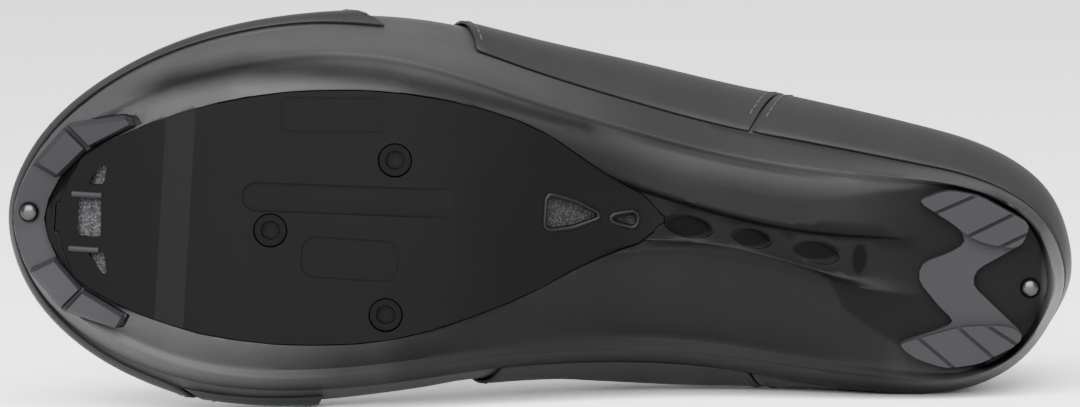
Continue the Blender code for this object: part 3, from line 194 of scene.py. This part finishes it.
# Small helpers around bpy.ops

def only(obj):
    """Leaves one object selected and active, in object mode."""
    if bpy.context.object and bpy.context.object.mode != "OBJECT":
        bpy.ops.object.mode_set(mode="OBJECT")
    bpy.ops.object.select_all(action="DESELECT")
    obj.select_set(True)
    bpy.context.view_layer.objects.active = obj
    return obj


def linked(name, mesh):
    """New object of the scene that shows the mesh, alone selected."""
    obj = bpy.data.objects.new(name, mesh)
    bpy.context.scene.collection.objects.link(obj)
    return only(obj)


def node_copy(node, name):
    """Merged copy of a CAD node, for a piece that stands in its place."""
    mesh = frame["nodes"][node].data.copy()
    mesh.materials.clear()
    obj = linked(name, mesh)
    bpy.ops.object.mode_set(mode="EDIT")
    bpy.ops.mesh.select_all(action="SELECT")
    bpy.ops.mesh.remove_doubles(threshold=MERGE_DISTANCE)
    bpy.ops.mesh.customdata_custom_splitnormals_clear()
    bpy.ops.object.mode_set(mode="OBJECT")
    return obj


def crease_sharp(obj, angle, value):
    """Creases the edges that are sharper than the angle, after pairing triangles into quads."""
    only(obj)
    pairing = math.radians(QUAD_ANGLE)
    bpy.ops.object.mode_set(mode="EDIT")
    bpy.ops.mesh.select_mode(type="EDGE")
    bpy.ops.mesh.select_all(action="SELECT")
    bpy.ops.mesh.tris_convert_to_quads(face_threshold=pairing, shape_threshold=pairing)
    bpy.ops.mesh.select_all(action="DESELECT")
    bpy.ops.mesh.edges_select_sharp(sharpness=math.radians(angle))
    bpy.ops.transform.edge_crease(value=value)
    bpy.ops.object.mode_set(mode="OBJECT")
    return obj


def apply_modifier(obj, kind, **values):
    only(obj)
    modifier = obj.modifiers.new(kind.lower(), kind)
    for key, value in values.items():
        setattr(modifier, key, value)
    bpy.ops.object.modifier_apply(modifier=modifier.name)
    return obj


def smooth(obj, angle=SOFT_ANGLE):
    only(obj)
    bpy.ops.object.shade_smooth_by_angle(angle=math.radians(angle))
    return obj


def bevelled(node, name, width, angle):
    """Copy of a CAD node with its sharp edges rounded, and its flats' own shading beside them."""
    return apply_modifier(smooth(node_copy(node, name), angle), "BEVEL", width=width,
                          segments=BEVEL_SEGMENTS, limit_method="ANGLE",
                          angle_limit=math.radians(angle), harden_normals=True)


def rounded(node, name, crease, crease_angle=SOFT_ANGLE, smooth_angle=SOFT_ANGLE):
    """Copy of a CAD node with its facets rounded out and its sharp edges partly kept."""
    piece = crease_sharp(node_copy(node, name), crease_angle, crease)
    apply_modifier(piece, "SUBSURF", levels=ROUNDING_LEVELS, render_levels=ROUNDING_LEVELS)
    return smooth(piece, smooth_angle)


# Dark floor and painted shade of the sole, as the view's angle shows them

def photo_place(point):
    """Along and across the shoe in millimetres, as the photo's angle shows a point."""
    place = SHOE.inverted() @ point
    across = place.y + place.z * math.sin(VIEW_LEAN)
    return place.x * MM_PER_METRE, across * MM_PER_METRE


def ramp(value, start, end):
    """0 at the start, 1 at the end, and level beyond both."""
    return min(max((value - start) / (end - start), 0.0), 1.0)


def band_share(band, blur, point):
    """How far a point lies inside a band of the sole: 0 outside, 1 inside, soft edges between."""
    along, across = photo_place(point)
    if not band[0][0] < along < band[-1][0]:
        return 0.0
    for (x0, top0, low0), (x1, top1, low1) in zip(band, band[1:]):
        if along <= x1:
            part = (along - x0) / (x1 - x0)
            edges = (top0 + (top1 - top0) * part - across, across - low0 - (low1 - low0) * part)
            sides = min(max(min(edges) / blur + 0.5, 0.0), 1.0)
            ends = min(along - band[0][0], band[-1][0] - along) / (END_SOFTNESS * blur)
            return sides * min(ends, 1.0)
    return 0.0


def floor_share(point):
    """Glossy dark floor of the shank and around the heel pad."""
    return band_share(DARK_FLOOR, FLOOR_BLUR, point)


def rim_share(rim, along, across):
    strength, sideways, from_front, from_rear = rim
    return strength * ramp(across, *sideways) * ramp(along, *from_front) * ramp(along, *from_rear)


def painted_shade_share(point):
    """Painted shade on the waist, in the groove and on the rims of the moulded sole."""
    along, across = photo_place(point)
    return max(
        WAIST_STRENGTH * band_share(WAIST_SHADE, WAIST_BLUR, point),
        GROOVE_STRENGTH * band_share(GROOVE_SHADE, GROOVE_BLUR, point),
        rim_share(MEDIAL_RIM_SHADE, along, across),
        rim_share(REAR_RIM_SHADE, along, across),
    )


def pit_shade_share(point):
    """Painted shade in the recesses of the spine."""
    along, across = photo_place(point)
    inside = max(1.0 - math.hypot((along - x) / a, (across - y) / b) for x, y, a, b in PITS)
    return min(max(inside * PIT_STEEPNESS + PIT_REACH, 0.0), 1.0)


def paint(obj, name, share_at, rounds=2):
    """Stores a share for each point of the piece, for its material to read, after rounds of making
    the faces finer where the share changes."""
    only(obj)
    mesh = obj.data
    bpy.context.tool_settings.mesh_select_mode = (True, False, False)
    for _ in range(rounds):
        shares = [share_at(vertex.co) for vertex in mesh.vertices]
        chosen = set()
        for face in mesh.polygons:
            around = [shares[k] for k in face.vertices]
            if max(around) - min(around) > FINER_FROM:
                chosen.update(face.vertices)
        mesh.polygons.foreach_set("select", [False] * len(mesh.polygons))
        mesh.edges.foreach_set("select", [False] * len(mesh.edges))
        mesh.vertices.foreach_set("select", [k in chosen for k in range(len(mesh.vertices))])
        bpy.ops.object.mode_set(mode="EDIT")
        bpy.ops.mesh.subdivide(number_cuts=1)
        bpy.ops.object.mode_set(mode="OBJECT")
    layer = mesh.attributes.new(name, "FLOAT", "POINT")
    for vertex in mesh.vertices:
        layer.data[vertex.index].value = share_at(vertex.co)


def surface_point(along, across, piece):
    """Point of a piece that the photo's angle shows at a place of the sole."""
    lean = math.tan(VIEW_LEAN)
    start = SHOE @ Vector((along, across + LOOK_START * lean, -LOOK_START))
    way = (SHOE_Z - SHOE_Y * lean).normalized()
    hit, place, _normal, _face = piece.ray_cast(start, way)
    if not hit:
        raise RuntimeError(f"no {piece.name} at {along:.4f}, {across:.4f}")
    return place


# Borders, cords and stitches

def cord(name, points, radius, closed=False, pieces=None):
    """Round cord along points of the row frame, or separate cords between the given pairs."""
    mesh = bpy.data.meshes.new(name)
    edges = pieces or [(k, k + 1) for k in range(len(points) - 1)]
    if closed:
        edges.append((len(points) - 1, 0))
    mesh.from_pydata(points, edges, [])
    linked(name, mesh)
    bpy.ops.object.convert(target="CURVE")
    curve = bpy.context.object.data
    curve.bevel_depth = radius
    curve.bevel_resolution = CORD_RESOLUTION
    curve.use_fill_caps = True
    bpy.ops.object.convert(target="MESH")
    return smooth(bpy.context.object)


def outward(place, normal):
    """How far a face looks away from the shoe's core, from -1 to 1."""
    local = SHOE.inverted() @ place
    along = min(max(local.x, CORE_REAR), CORE_FRONT)
    core = SHOE @ Vector((along, 0.0, min(local.z, CORE_HEIGHT)))
    return normal.dot((place - core).normalized())


def border_loops(node, looks_out=outward):
    """Border of a node's outer sheet as runs of (place, way into the sheet, normal)."""
    mesh = bmesh.new()
    mesh.from_mesh(frame["nodes"][node].data)
    bmesh.ops.remove_doubles(mesh, verts=mesh.verts, dist=MERGE_DISTANCE)
    outer = {f for f in mesh.faces if looks_out(f.calc_center_median(), f.normal) > SHEET_TURN}
    ways = {}
    for edge in mesh.edges:
        inside = [f for f in edge.link_faces if f in outer]
        if len(inside) != 1:
            continue
        loop = next(lo for lo in inside[0].loops if lo.edge == edge)
        start, end = loop.vert, loop.link_loop_next.vert
        into = inside[0].normal.cross(end.co - start.co).normalized()
        ways[start.index] = (end.index, start.co.copy(), into.copy(), inside[0].normal.copy())
    mesh.free()
    runs = []
    while ways:
        following = {way[0] for way in ways.values()}
        key = next((k for k in ways if k not in following), next(iter(ways)))
        run = []
        while key in ways:
            key, *step = ways.pop(key)
            run.append(tuple(step))
        runs.append(run)
    return runs


def even_run(run, pitch):
    """The run's places and ways at an even pitch."""
    even, left = [], 0.0
    for (a, into, _), (b, _, _) in zip(run, run[1:]):
        length = (b - a).length
        while left < length:
            even.append((a.lerp(b, left / length), into))
            left += pitch
        left -= length
    return even


def stitch(node, skin):
    """Row of thread along the border of a node, on its skin, left out where it meets the sole."""
    sole = bpy.data.objects["moulded_sole"]
    points, pieces = [], []
    for run in border_loops(node):
        before = None
        for place, into in even_run(run, STITCH_PITCH):
            found, spot, normal, _face = skin.closest_point_on_mesh(place + into * STITCH_INSET)
            _found, low, _normal, _face = sole.closest_point_on_mesh(spot)
            if not found or (low - spot).length < STITCH_CLEARANCE:
                before = None
                continue
            spot = spot + normal * STITCH_LIFT
            if before is not None and STITCH_SHORTEST < (spot - before).length < STITCH_LONGEST:
                bare = (spot - before) * STITCH_BARE
                points += [before + bare, spot - bare]
                pieces.append((len(points) - 2, len(points) - 1))
            before = spot
    if not pieces:
        raise RuntimeError(f"no border to stitch on {node}")
    return cord(node + "_stitches", points, shoe_sizes().thread / 2.0, pieces=pieces)


def dress(obj, material, slot, *nodes):
    obj.data.materials.clear()
    obj.data.materials.append(material)
    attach(obj, "root")
    if nodes:
        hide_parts(*nodes)
    return obj


# Materials

def toned(colour, share):
    """The colour at a share of its strength."""
    return tuple(c * share for c in colour)


def opaque(colour):
    return (*colour, 1.0)


class Surface:
    """Node material under construction: a Principled shader and what drives its look."""

    # A Mix node's sockets for its two values and its result
    MIX_SOCKETS = {"FLOAT": (2, 3, 0), "RGBA": (6, 7, 2)}

    def __init__(self, name, colour, roughness, **sockets):
        self.material = bpy.data.materials.new(name)
        self.material.use_nodes = True
        self.tree = self.material.node_tree
        self.shader = self.tree.nodes["Principled BSDF"]
        self.colour = tuple(colour)
        self.roughness = roughness
        self.shader.inputs["Base Color"].default_value = opaque(self.colour)
        self.shader.inputs["Roughness"].default_value = roughness
        for key, value in sockets.items():
            self.shader.inputs[key.replace("_", " ")].default_value = value
        self.coordinates = self.node("ShaderNodeTexCoord").outputs["Object"]
        self.normal = None

    def node(self, kind, **values):
        """New node with its sockets and settings given by name."""
        made = self.tree.nodes.new(kind)
        for key, value in values.items():
            socket = key.replace("_", " ")
            if socket in made.inputs:
                made.inputs[socket].default_value = value
            else:
                setattr(made, key, value)
        return made

    def link(self, start, end):
        self.tree.links.new(start, end)

    def texture(self, kind, output, **values):
        """Pattern on the piece's own coordinates."""
        made = self.node(kind, **values)
        self.link(self.coordinates, made.inputs["Vector"])
        return made.outputs[output]

    def noise(self, scale, detail):
        return self.texture("ShaderNodeTexNoise", "Fac", Scale=scale, Detail=detail, Roughness=0.55)

    def cells(self, scale):
        return self.texture("ShaderNodeTexVoronoi", "Distance", Scale=scale)

    def bands(self, scale, direction):
        return self.texture("ShaderNodeTexWave", "Fac", Scale=scale, bands_direction=direction)

    def painted(self, name):
        """Share that paint has stored in the piece."""
        return self.node("ShaderNodeAttribute", attribute_name=name).outputs["Fac"]

    def ranged(self, value, low, high, start=0.0, end=1.0):
        """Value brought from the range start to end into the range low to high."""
        made = self.node("ShaderNodeMapRange", From_Min=start, From_Max=end, To_Min=low,
                         To_Max=high)
        self.link(value, made.inputs["Value"])
        return made.outputs["Result"]

    def along(self, axis, start, end):
        """Position along one of the shoe's own axes, from 0 at the start to 1 at the end."""
        dot = self.node("ShaderNodeVectorMath", operation="DOT_PRODUCT")
        self.link(self.coordinates, dot.inputs[0])
        dot.inputs[1].default_value = axis
        shift = SHOE.translation.dot(axis)
        return self.ranged(dot.outputs["Value"], 0.0, 1.0, start + shift, end + shift)

    def bump(self, height, distance, strength):
        made = self.node("ShaderNodeBump", Strength=strength, Distance=distance)
        self.link(height, made.inputs["Height"])
        if self.normal is not None:
            self.link(self.normal, made.inputs["Normal"])
        self.normal = made.outputs["Normal"]
        self.link(self.normal, self.shader.inputs["Normal"])

    def vary_roughness(self, value, spread):
        self.link(self.ranged(value, self.roughness - spread, self.roughness + spread),
                  self.shader.inputs["Roughness"])

    def vary_colour(self, value, darker, lighter, start=0.3, end=0.7):
        """Colour from its darker share at the value's start to its lighter one at the end."""
        shades = self.node("ShaderNodeValToRGB")
        ends = ((start, darker), (end, lighter))
        for element, (position, share) in zip(shades.color_ramp.elements, ends):
            element.position = position
            element.color = opaque(toned(self.colour, share))
        self.link(value, shades.inputs["Fac"])
        self.link(shades.outputs["Color"], self.shader.inputs["Base Color"])

    def blend(self, share, key, value, data_type="FLOAT"):
        """Moves a socket of the shader toward a second value where the share is high."""
        socket = self.shader.inputs[key]
        first, second, result = self.MIX_SOCKETS[data_type]
        mix = self.node("ShaderNodeMix", data_type=data_type)
        self.link(share, mix.inputs[0])
        if socket.links:
            self.link(socket.links[0].from_socket, mix.inputs[first])
        else:
            mix.inputs[first].default_value = socket.default_value
        mix.inputs[second].default_value = value
        self.link(mix.outputs[result], socket)

    def patch(self, share, colour, roughness=None, shine=None):
        """Second colour, with its roughness and shine, where the share is high."""
        self.blend(share, "Base Color", opaque(colour), "RGBA")
        for key, value in (("Roughness", roughness), ("Specular IOR Level", shine)):
            if value is not None:
                self.blend(share, key, value)


def moulded(name, colour, roughness, shine):
    """Moulded composite or rubber: fine grain, faint mottling. Gives the surface to work on."""
    look = Surface(name, colour, roughness, Specular_IOR_Level=shine)
    look.vary_roughness(look.noise(scale=90.0, detail=3.0), 0.06)
    look.vary_colour(look.noise(scale=55.0, detail=3.0), darker=0.92, lighter=1.08)
    look.bump(look.noise(scale=5200.0, detail=2.0), distance=0.00002, strength=0.6)
    return look


def woven(name, colour):
    """Plain webbing, its threads running both ways."""
    look = Surface(name, colour, 0.9, Sheen_Weight=0.04, Sheen_Roughness=0.5,
                   Specular_IOR_Level=0.1)
    for direction in ("X", "Z"):
        look.bump(look.bands(1100.0, direction), distance=0.00025, strength=0.5)
    look.vary_colour(look.noise(scale=900.0, detail=2.0), darker=0.75, lighter=1.2)
    return look.material


def mesh_weave(name, colour):
    """Open mesh behind a vent."""
    look = Surface(name, colour, 0.8, Specular_IOR_Level=0.1)
    look.bump(look.cells(1400.0), distance=0.0003, strength=1.0)
    look.vary_colour(look.cells(1400.0), darker=1.15, lighter=0.45, start=0.25, end=0.60)
    return look.material


def grained(name, colour, roughness, shine):
    """Coated synthetic leather."""
    look = Surface(name, colour, roughness, Specular_IOR_Level=shine)
    look.bump(look.cells(1700.0), distance=0.00006, strength=0.5)
    look.vary_roughness(look.noise(scale=60.0, detail=3.0), 0.07)
    look.vary_colour(look.noise(scale=40.0, detail=3.0), darker=0.9, lighter=1.1)
    return look.material


def metal(name, colour, roughness):
    look = Surface(name, colour, roughness, Metallic=1.0)
    look.bump(look.noise(scale=2500.0, detail=3.0), distance=0.00002, strength=0.4)
    look.vary_roughness(look.noise(scale=400.0, detail=3.0), 0.06)
    return look.material


def thread_look():
    """Material of all the stitches, made where it is first asked for."""
    made = bpy.data.materials.get("thread")
    return made or Surface("thread", toned(colours().fabric, 1.3), 0.8).material


# What a user would change

def colour_property(name, description, default):
    return bpy.props.FloatVectorProperty(name=name, description=description, default=default,
                                         subtype="COLOR", size=3, min=0.0, max=1.0)


def length_property(name, description, default, smallest):
    return bpy.props.FloatProperty(name=name, description=description, default=default,
                                   min=smallest, unit="LENGTH")


class ShoeColours(bpy.types.PropertyGroup):
    """Colours of the shoe's finishes."""
    shell: colour_property("Sole", "Moulded sole around the plate", (0.0165, 0.0165, 0.0172))
    plate: colour_property("Plate", "Smooth forefoot plate", (0.0014, 0.0014, 0.00135))
    bumper: colour_property("Bumper and pad", "Moulded toe bumper and heel pad",
                            (0.0070, 0.0070, 0.0081))
    upper: colour_property("Upper", "Synthetic leather of the upper", (0.0170, 0.0170, 0.0175))
    overlay: colour_property("Overlays", "Coated overlays on the upper", (0.0098, 0.0098, 0.0101))
    fabric: colour_property("Fabric", "Straps, tongue, lining and insole",
                            (0.0075, 0.0075, 0.0079))
    mesh: colour_property("Vent mesh", "Mesh behind the vents", (0.028, 0.028, 0.030))
    steel: colour_property("Screws", "Steel screw heads", (0.036, 0.036, 0.035))
    floor: colour_property("Floor", "Pale studio floor", (0.97, 0.97, 0.97))


class ShoeSizes(bpy.types.PropertyGroup):
    """Sizes of the details that the scene adds."""
    frame: length_property("Vent frame", "Thickness of the shank vent's frames", 0.0012, 0.0002)
    rib: length_property("Vent rib", "Thickness of the toe vent's ribs", 0.0018, 0.0002)
    binding: length_property("Binding", "Thickness of the collar's binding", 0.0028, 0.0005)
    thread: length_property("Thread", "Thickness of the seam threads", 0.0005, 0.0001)


def colours():
    return bpy.context.scene.shoe_colours


def shoe_sizes():
    return bpy.context.scene.shoe_sizes


class SHOE_OT_sole(bpy.types.Operator):
    """Moulded sole with its rim, shank and heel cup"""
    bl_idname = "shoe.sole"
    bl_label = "Sole"

    def execute(self, context):
        shell, plate = colours().shell, colours().plate
        sole = rounded("outsole", "moulded_sole", 0.9, crease_angle=38, smooth_angle=50)
        # Stored shares: the dark floor, painted shade in the spine's recesses, and painted shade on
        # the waist, groove and rims
        paint(sole, "floor", floor_share)
        paint(sole, "pit_shade", pit_shade_share)
        paint(sole, "shade", painted_shade_share, rounds=0)
        look = moulded("sole_composite", shell, roughness=0.50, shine=0.12)
        # Painted shade on the waist, groove and rims: a fraction of the shell's colour, rougher and
        # duller
        look.patch(look.painted("shade"), toned(shell, 0.12), roughness=0.60, shine=0.012)
        look.patch(look.painted("floor"), plate, roughness=0.42, shine=0.045)
        # Painted shade in the spine's recesses: the plate's colour darker, rougher and duller
        look.patch(look.painted("pit_shade"), toned(plate, 0.6), roughness=0.6, shine=0.025)
        dress(sole, look.material, "shell", "outsole")
        return {"FINISHED"}


class SHOE_OT_plate(bpy.types.Operator):
    """Smooth plate that takes the cleat, with its inserts"""
    bl_idname = "shoe.plate"
    bl_label = "Forefoot plate"

    def execute(self, context):
        colour = colours().plate
        plate = bevelled("forefoot_plate", "cleat_plate", 0.00025, 25)
        look = moulded("plate_composite", colour, roughness=0.42, shine=0.038)
        look.patch(self.strip_share(look), toned(colour, 2.1))
        dress(plate, look.material, "plate", "forefoot_plate")
        ring = moulded("black_insert", colour, roughness=0.5, shine=0.03).material
        for place in ("front", "lateral", "medial"):
            insert = bevelled(f"cleat_insert_{place}", f"insert_{place}", 0.0002, 40)
            dress(insert, ring, "insert", f"cleat_insert_{place}")
        return {"FINISHED"}

    @staticmethod
    def strip_share(look):
        """1 on the lighter strip across the front of the plate, 0 beside it."""
        start, end = STRIP
        both = look.node("ShaderNodeMath", operation="MULTIPLY")
        look.link(look.along(SHOE_X, start - STRIP_BLUR, start), both.inputs[0])
        look.link(look.along(SHOE_X, end + STRIP_BLUR, end), both.inputs[1])
        return both.outputs[0]


class SHOE_OT_vents(bpy.types.Operator):
    """Mesh, frames and ribs of the toe and shank vents"""
    bl_idname = "shoe.vents"
    bl_label = "Vents"

    def execute(self, context):
        edging = moulded("vent_frame", toned(colours().plate, 1.6), roughness=0.40, shine=0.09)
        half = shoe_sizes().frame / 2.0
        for k, run in enumerate(self.windows(), 1):
            rim = [place + into * half for place, into, _normal in run]
            dress(cord(f"vent_frame_{k}", rim, half, closed=True), edging.material, "plate")
        bar = moulded("vent_rib", colours().bumper, roughness=0.5, shine=0.12)
        for k, (*ends, across) in enumerate(VENT_RIBS, 1):
            rib = [self.rib_point(along, across) for along in ends]
            dress(cord(f"vent_rib_{k}", rib, shoe_sizes().rib / 2.0), bar.material, "bumper")
        # Both vents hold the same mesh; the shank vent's copy is darker, as painted shade behind
        # the plate's small windows
        for node, share in (("toe_vent_mesh", 1.15), ("mid_vent_mesh", 0.55)):
            weave = node.replace("_mesh", "_weave")
            look = mesh_weave(weave, toned(colours().mesh, share))
            dress(node_copy(node, weave), look, "mesh", node)
        return {"FINISHED"}

    @staticmethod
    def windows():
        """Borders of the small windows in the plate's underside, behind the ball."""
        chosen = []
        for run in border_loops("forefoot_plate", lambda _place, normal: -normal.dot(SHOE_Z)):
            places = [SHOE.inverted() @ place for place, _into, _normal in run]
            along = [place.x for place in places]
            across = [place.y for place in places]
            narrow = max(across) - min(across) < WINDOW_WIDTH
            if narrow and max(along) - min(along) < WINDOW_LENGTH and max(along) < WINDOW_FRONT:
                chosen.append(run)
        return chosen

    @staticmethod
    def rib_point(along, across):
        """End of a rib, sunk into the plate."""
        plate = bpy.data.objects["cleat_plate"]
        place = surface_point(along / MM_PER_METRE, across / MM_PER_METRE, plate)
        return place + SHOE_Z * RIB_DEPTH


class SHOE_OT_bumper(bpy.types.Operator):
    """Toe bumper and heel pad with their screws"""
    bl_idname = "shoe.bumper"
    bl_label = "Bumper, heel pad and screws"

    def execute(self, context):
        rubber = moulded("pad_rubber", colours().bumper, roughness=0.60, shine=0.12).material
        for node, name in (("toe_bumper", "toe_guard"), ("heel_pad", "heel_tread")):
            dress(bevelled(node, name, 0.0003, 30), rubber, "bumper", node)
        steel = metal("screw_steel", colours().steel, 0.3)
        for node in ("toe_screw", "heel_screw"):
            piece = bevelled(node, node.replace("screw", "fastener"), 0.0001, 45)
            dress(piece, steel, "steel", node)
        return {"FINISHED"}


class SHOE_OT_upper(bpy.types.Operator):
    """Upper with its binding and overlays"""
    bl_idname = "shoe.upper"
    bl_label = "Upper and overlays"

    def execute(self, context):
        leather = grained("upper_leather", colours().upper, roughness=0.55, shine=0.14)
        dress(rounded("upper", "lasted_upper", 0.6), leather, "upper", "upper")
        binding = cord("collar_binding", self.collar_edge(), shoe_sizes().binding / 2.0)
        dress(binding, woven("binding", colours().fabric), "upper")
        coated = grained("overlay_coating", colours().overlay, roughness=0.50, shine=0.07)
        for node in ("toe_overlay", "forefoot_overlay_medial", "quarter_overlay_lateral",
                     "quarter_overlay_medial", "heel_counter"):
            piece = dress(rounded(node, node + "_skin", 0.75), coated, "overlay", node)
            dress(stitch(node, piece), thread_look(), "overlay")
        return {"FINISHED"}

    @staticmethod
    def collar_edge():
        """Top edge of the upper around the collar, in order, as the binding's middle."""
        edge = []
        for run in border_loops("upper"):
            for place, _into, normal in run:
                local = SHOE.inverted() @ place
                if local.x < COLLAR_REACH and local.z > COLLAR_LOW:
                    turn = math.atan2(local.y, COLLAR_MIDDLE - local.x)
                    edge.append((turn, place - normal * BINDING_DEPTH))
        return [place for _turn, place in sorted(edge)]


class SHOE_OT_inside(bpy.types.Operator):
    """Tongue, straps and insole"""
    bl_idname = "shoe.inside"
    bl_label = "Tongue, straps and insole"

    def execute(self, context):
        cloth = woven("strap_webbing", colours().fabric)
        for node, slot in (("tongue", "tongue"), ("insole", "insole"), ("strap_front", "strap"),
                           ("strap_middle", "strap"), ("strap_top", "strap")):
            piece = dress(rounded(node, node + "_cloth", 0.6), cloth, slot, node)
            if slot == "strap":
                dress(stitch(node, piece), thread_look(), slot)
        return {"FINISHED"}


class SHOE_OT_stage(bpy.types.Operator):
    """Floor, soft light and the camera at the photo's angle"""
    bl_idname = "shoe.stage"
    bl_label = "Stage"

    def execute(self, context):
        bpy.ops.object.select_all(action="DESELECT")
        bpy.ops.mesh.primitive_plane_add(size=FLOOR_SIZE, location=(0, 0, 0))
        floor = context.object
        floor.name = "studio_floor"
        look = Surface("studio_floor", colours().floor, 0.7)
        look.vary_colour(look.noise(scale=3.0, detail=2.0), darker=0.995, lighter=1.005)
        floor.data.materials.append(look.material)
        self.sky(context)
        self.key_light(context)
        self.camera(context)
        return {"FINISHED"}

    @staticmethod
    def sky(context):
        world = bpy.data.worlds.new("studio")
        context.scene.world = world
        world.use_nodes = True
        background = world.node_tree.nodes["Background"]
        background.inputs["Color"].default_value = (1.0, 1.0, 1.0, 1.0)
        background.inputs["Strength"].default_value = SKY_STRENGTH

    @staticmethod
    def key_light(context):
        bpy.ops.object.light_add(type="AREA", location=KEY_LIGHT_PLACE)
        light = context.object
        light.name = "key_light"
        light.data.size = KEY_LIGHT_SIZE
        light.data.energy = KEY_LIGHT_POWER
        aim = KEY_LIGHT_TARGET - KEY_LIGHT_PLACE
        light.rotation_euler = aim.to_track_quat("-Z", "Y").to_euler()

    @staticmethod
    def camera(context):
        away = Vector((0.0, math.sin(VIEW_LEAN), -math.cos(VIEW_LEAN)))
        right = Vector((-1.0, 0.0, 0.0))
        up = away.cross(right)
        turned_right = right * math.cos(VIEW_ROLL) + up * math.sin(VIEW_ROLL)
        turned_up = up * math.cos(VIEW_ROLL) - right * math.sin(VIEW_ROLL)
        axes = Matrix((turned_right, turned_up, away)).transposed().to_4x4()
        place = Matrix.Translation(Vector(VIEW_CENTRE) + away * VIEW_DISTANCE) @ axes
        bpy.ops.object.camera_add()
        camera = context.object
        camera.name = "photo_view"
        camera.matrix_world = SHOE @ place
        camera.data.sensor_fit = "HORIZONTAL"
        camera.data.sensor_width = SENSOR_WIDTH
        width = PHOTO_SIZE[0] * METRES_PER_PIXEL
        camera.data.lens = SENSOR_WIDTH * VIEW_DISTANCE / width
        camera.data.clip_start = CLIP_START
        context.scene.camera = camera


class SHOE_PT_panel(bpy.types.Panel):
    """Lists the shoe's pieces in the sidebar"""
    bl_idname = "SHOE_PT_panel"
    bl_label = "Cycling shoe"
    bl_space_type = "VIEW_3D"
    bl_region_type = "UI"
    bl_category = "Shoe"

    def draw(self, context):
        for operator in PIECES:
            self.layout.operator(operator.bl_idname)


PIECES = (SHOE_OT_sole, SHOE_OT_plate, SHOE_OT_vents, SHOE_OT_bumper, SHOE_OT_upper,
          SHOE_OT_inside, SHOE_OT_stage)
CLASSES = (ShoeColours, ShoeSizes, *PIECES, SHOE_PT_panel)


def register():
    for item in CLASSES:
        bpy.utils.register_class(item)
    bpy.types.Scene.shoe_colours = bpy.props.PointerProperty(type=ShoeColours)
    bpy.types.Scene.shoe_sizes = bpy.props.PointerProperty(type=ShoeSizes)


def unregister():
    del bpy.types.Scene.shoe_sizes
    del bpy.types.Scene.shoe_colours
    for item in reversed(CLASSES):
        bpy.utils.unregister_class(item)


def main():
    register()
    bpy.ops.shoe.sole()
    bpy.ops.shoe.plate()
    bpy.ops.shoe.vents()
    bpy.ops.shoe.bumper()
    bpy.ops.shoe.upper()
    bpy.ops.shoe.inside()
    bpy.ops.shoe.stage()


if __name__ == "__main__":
    main()
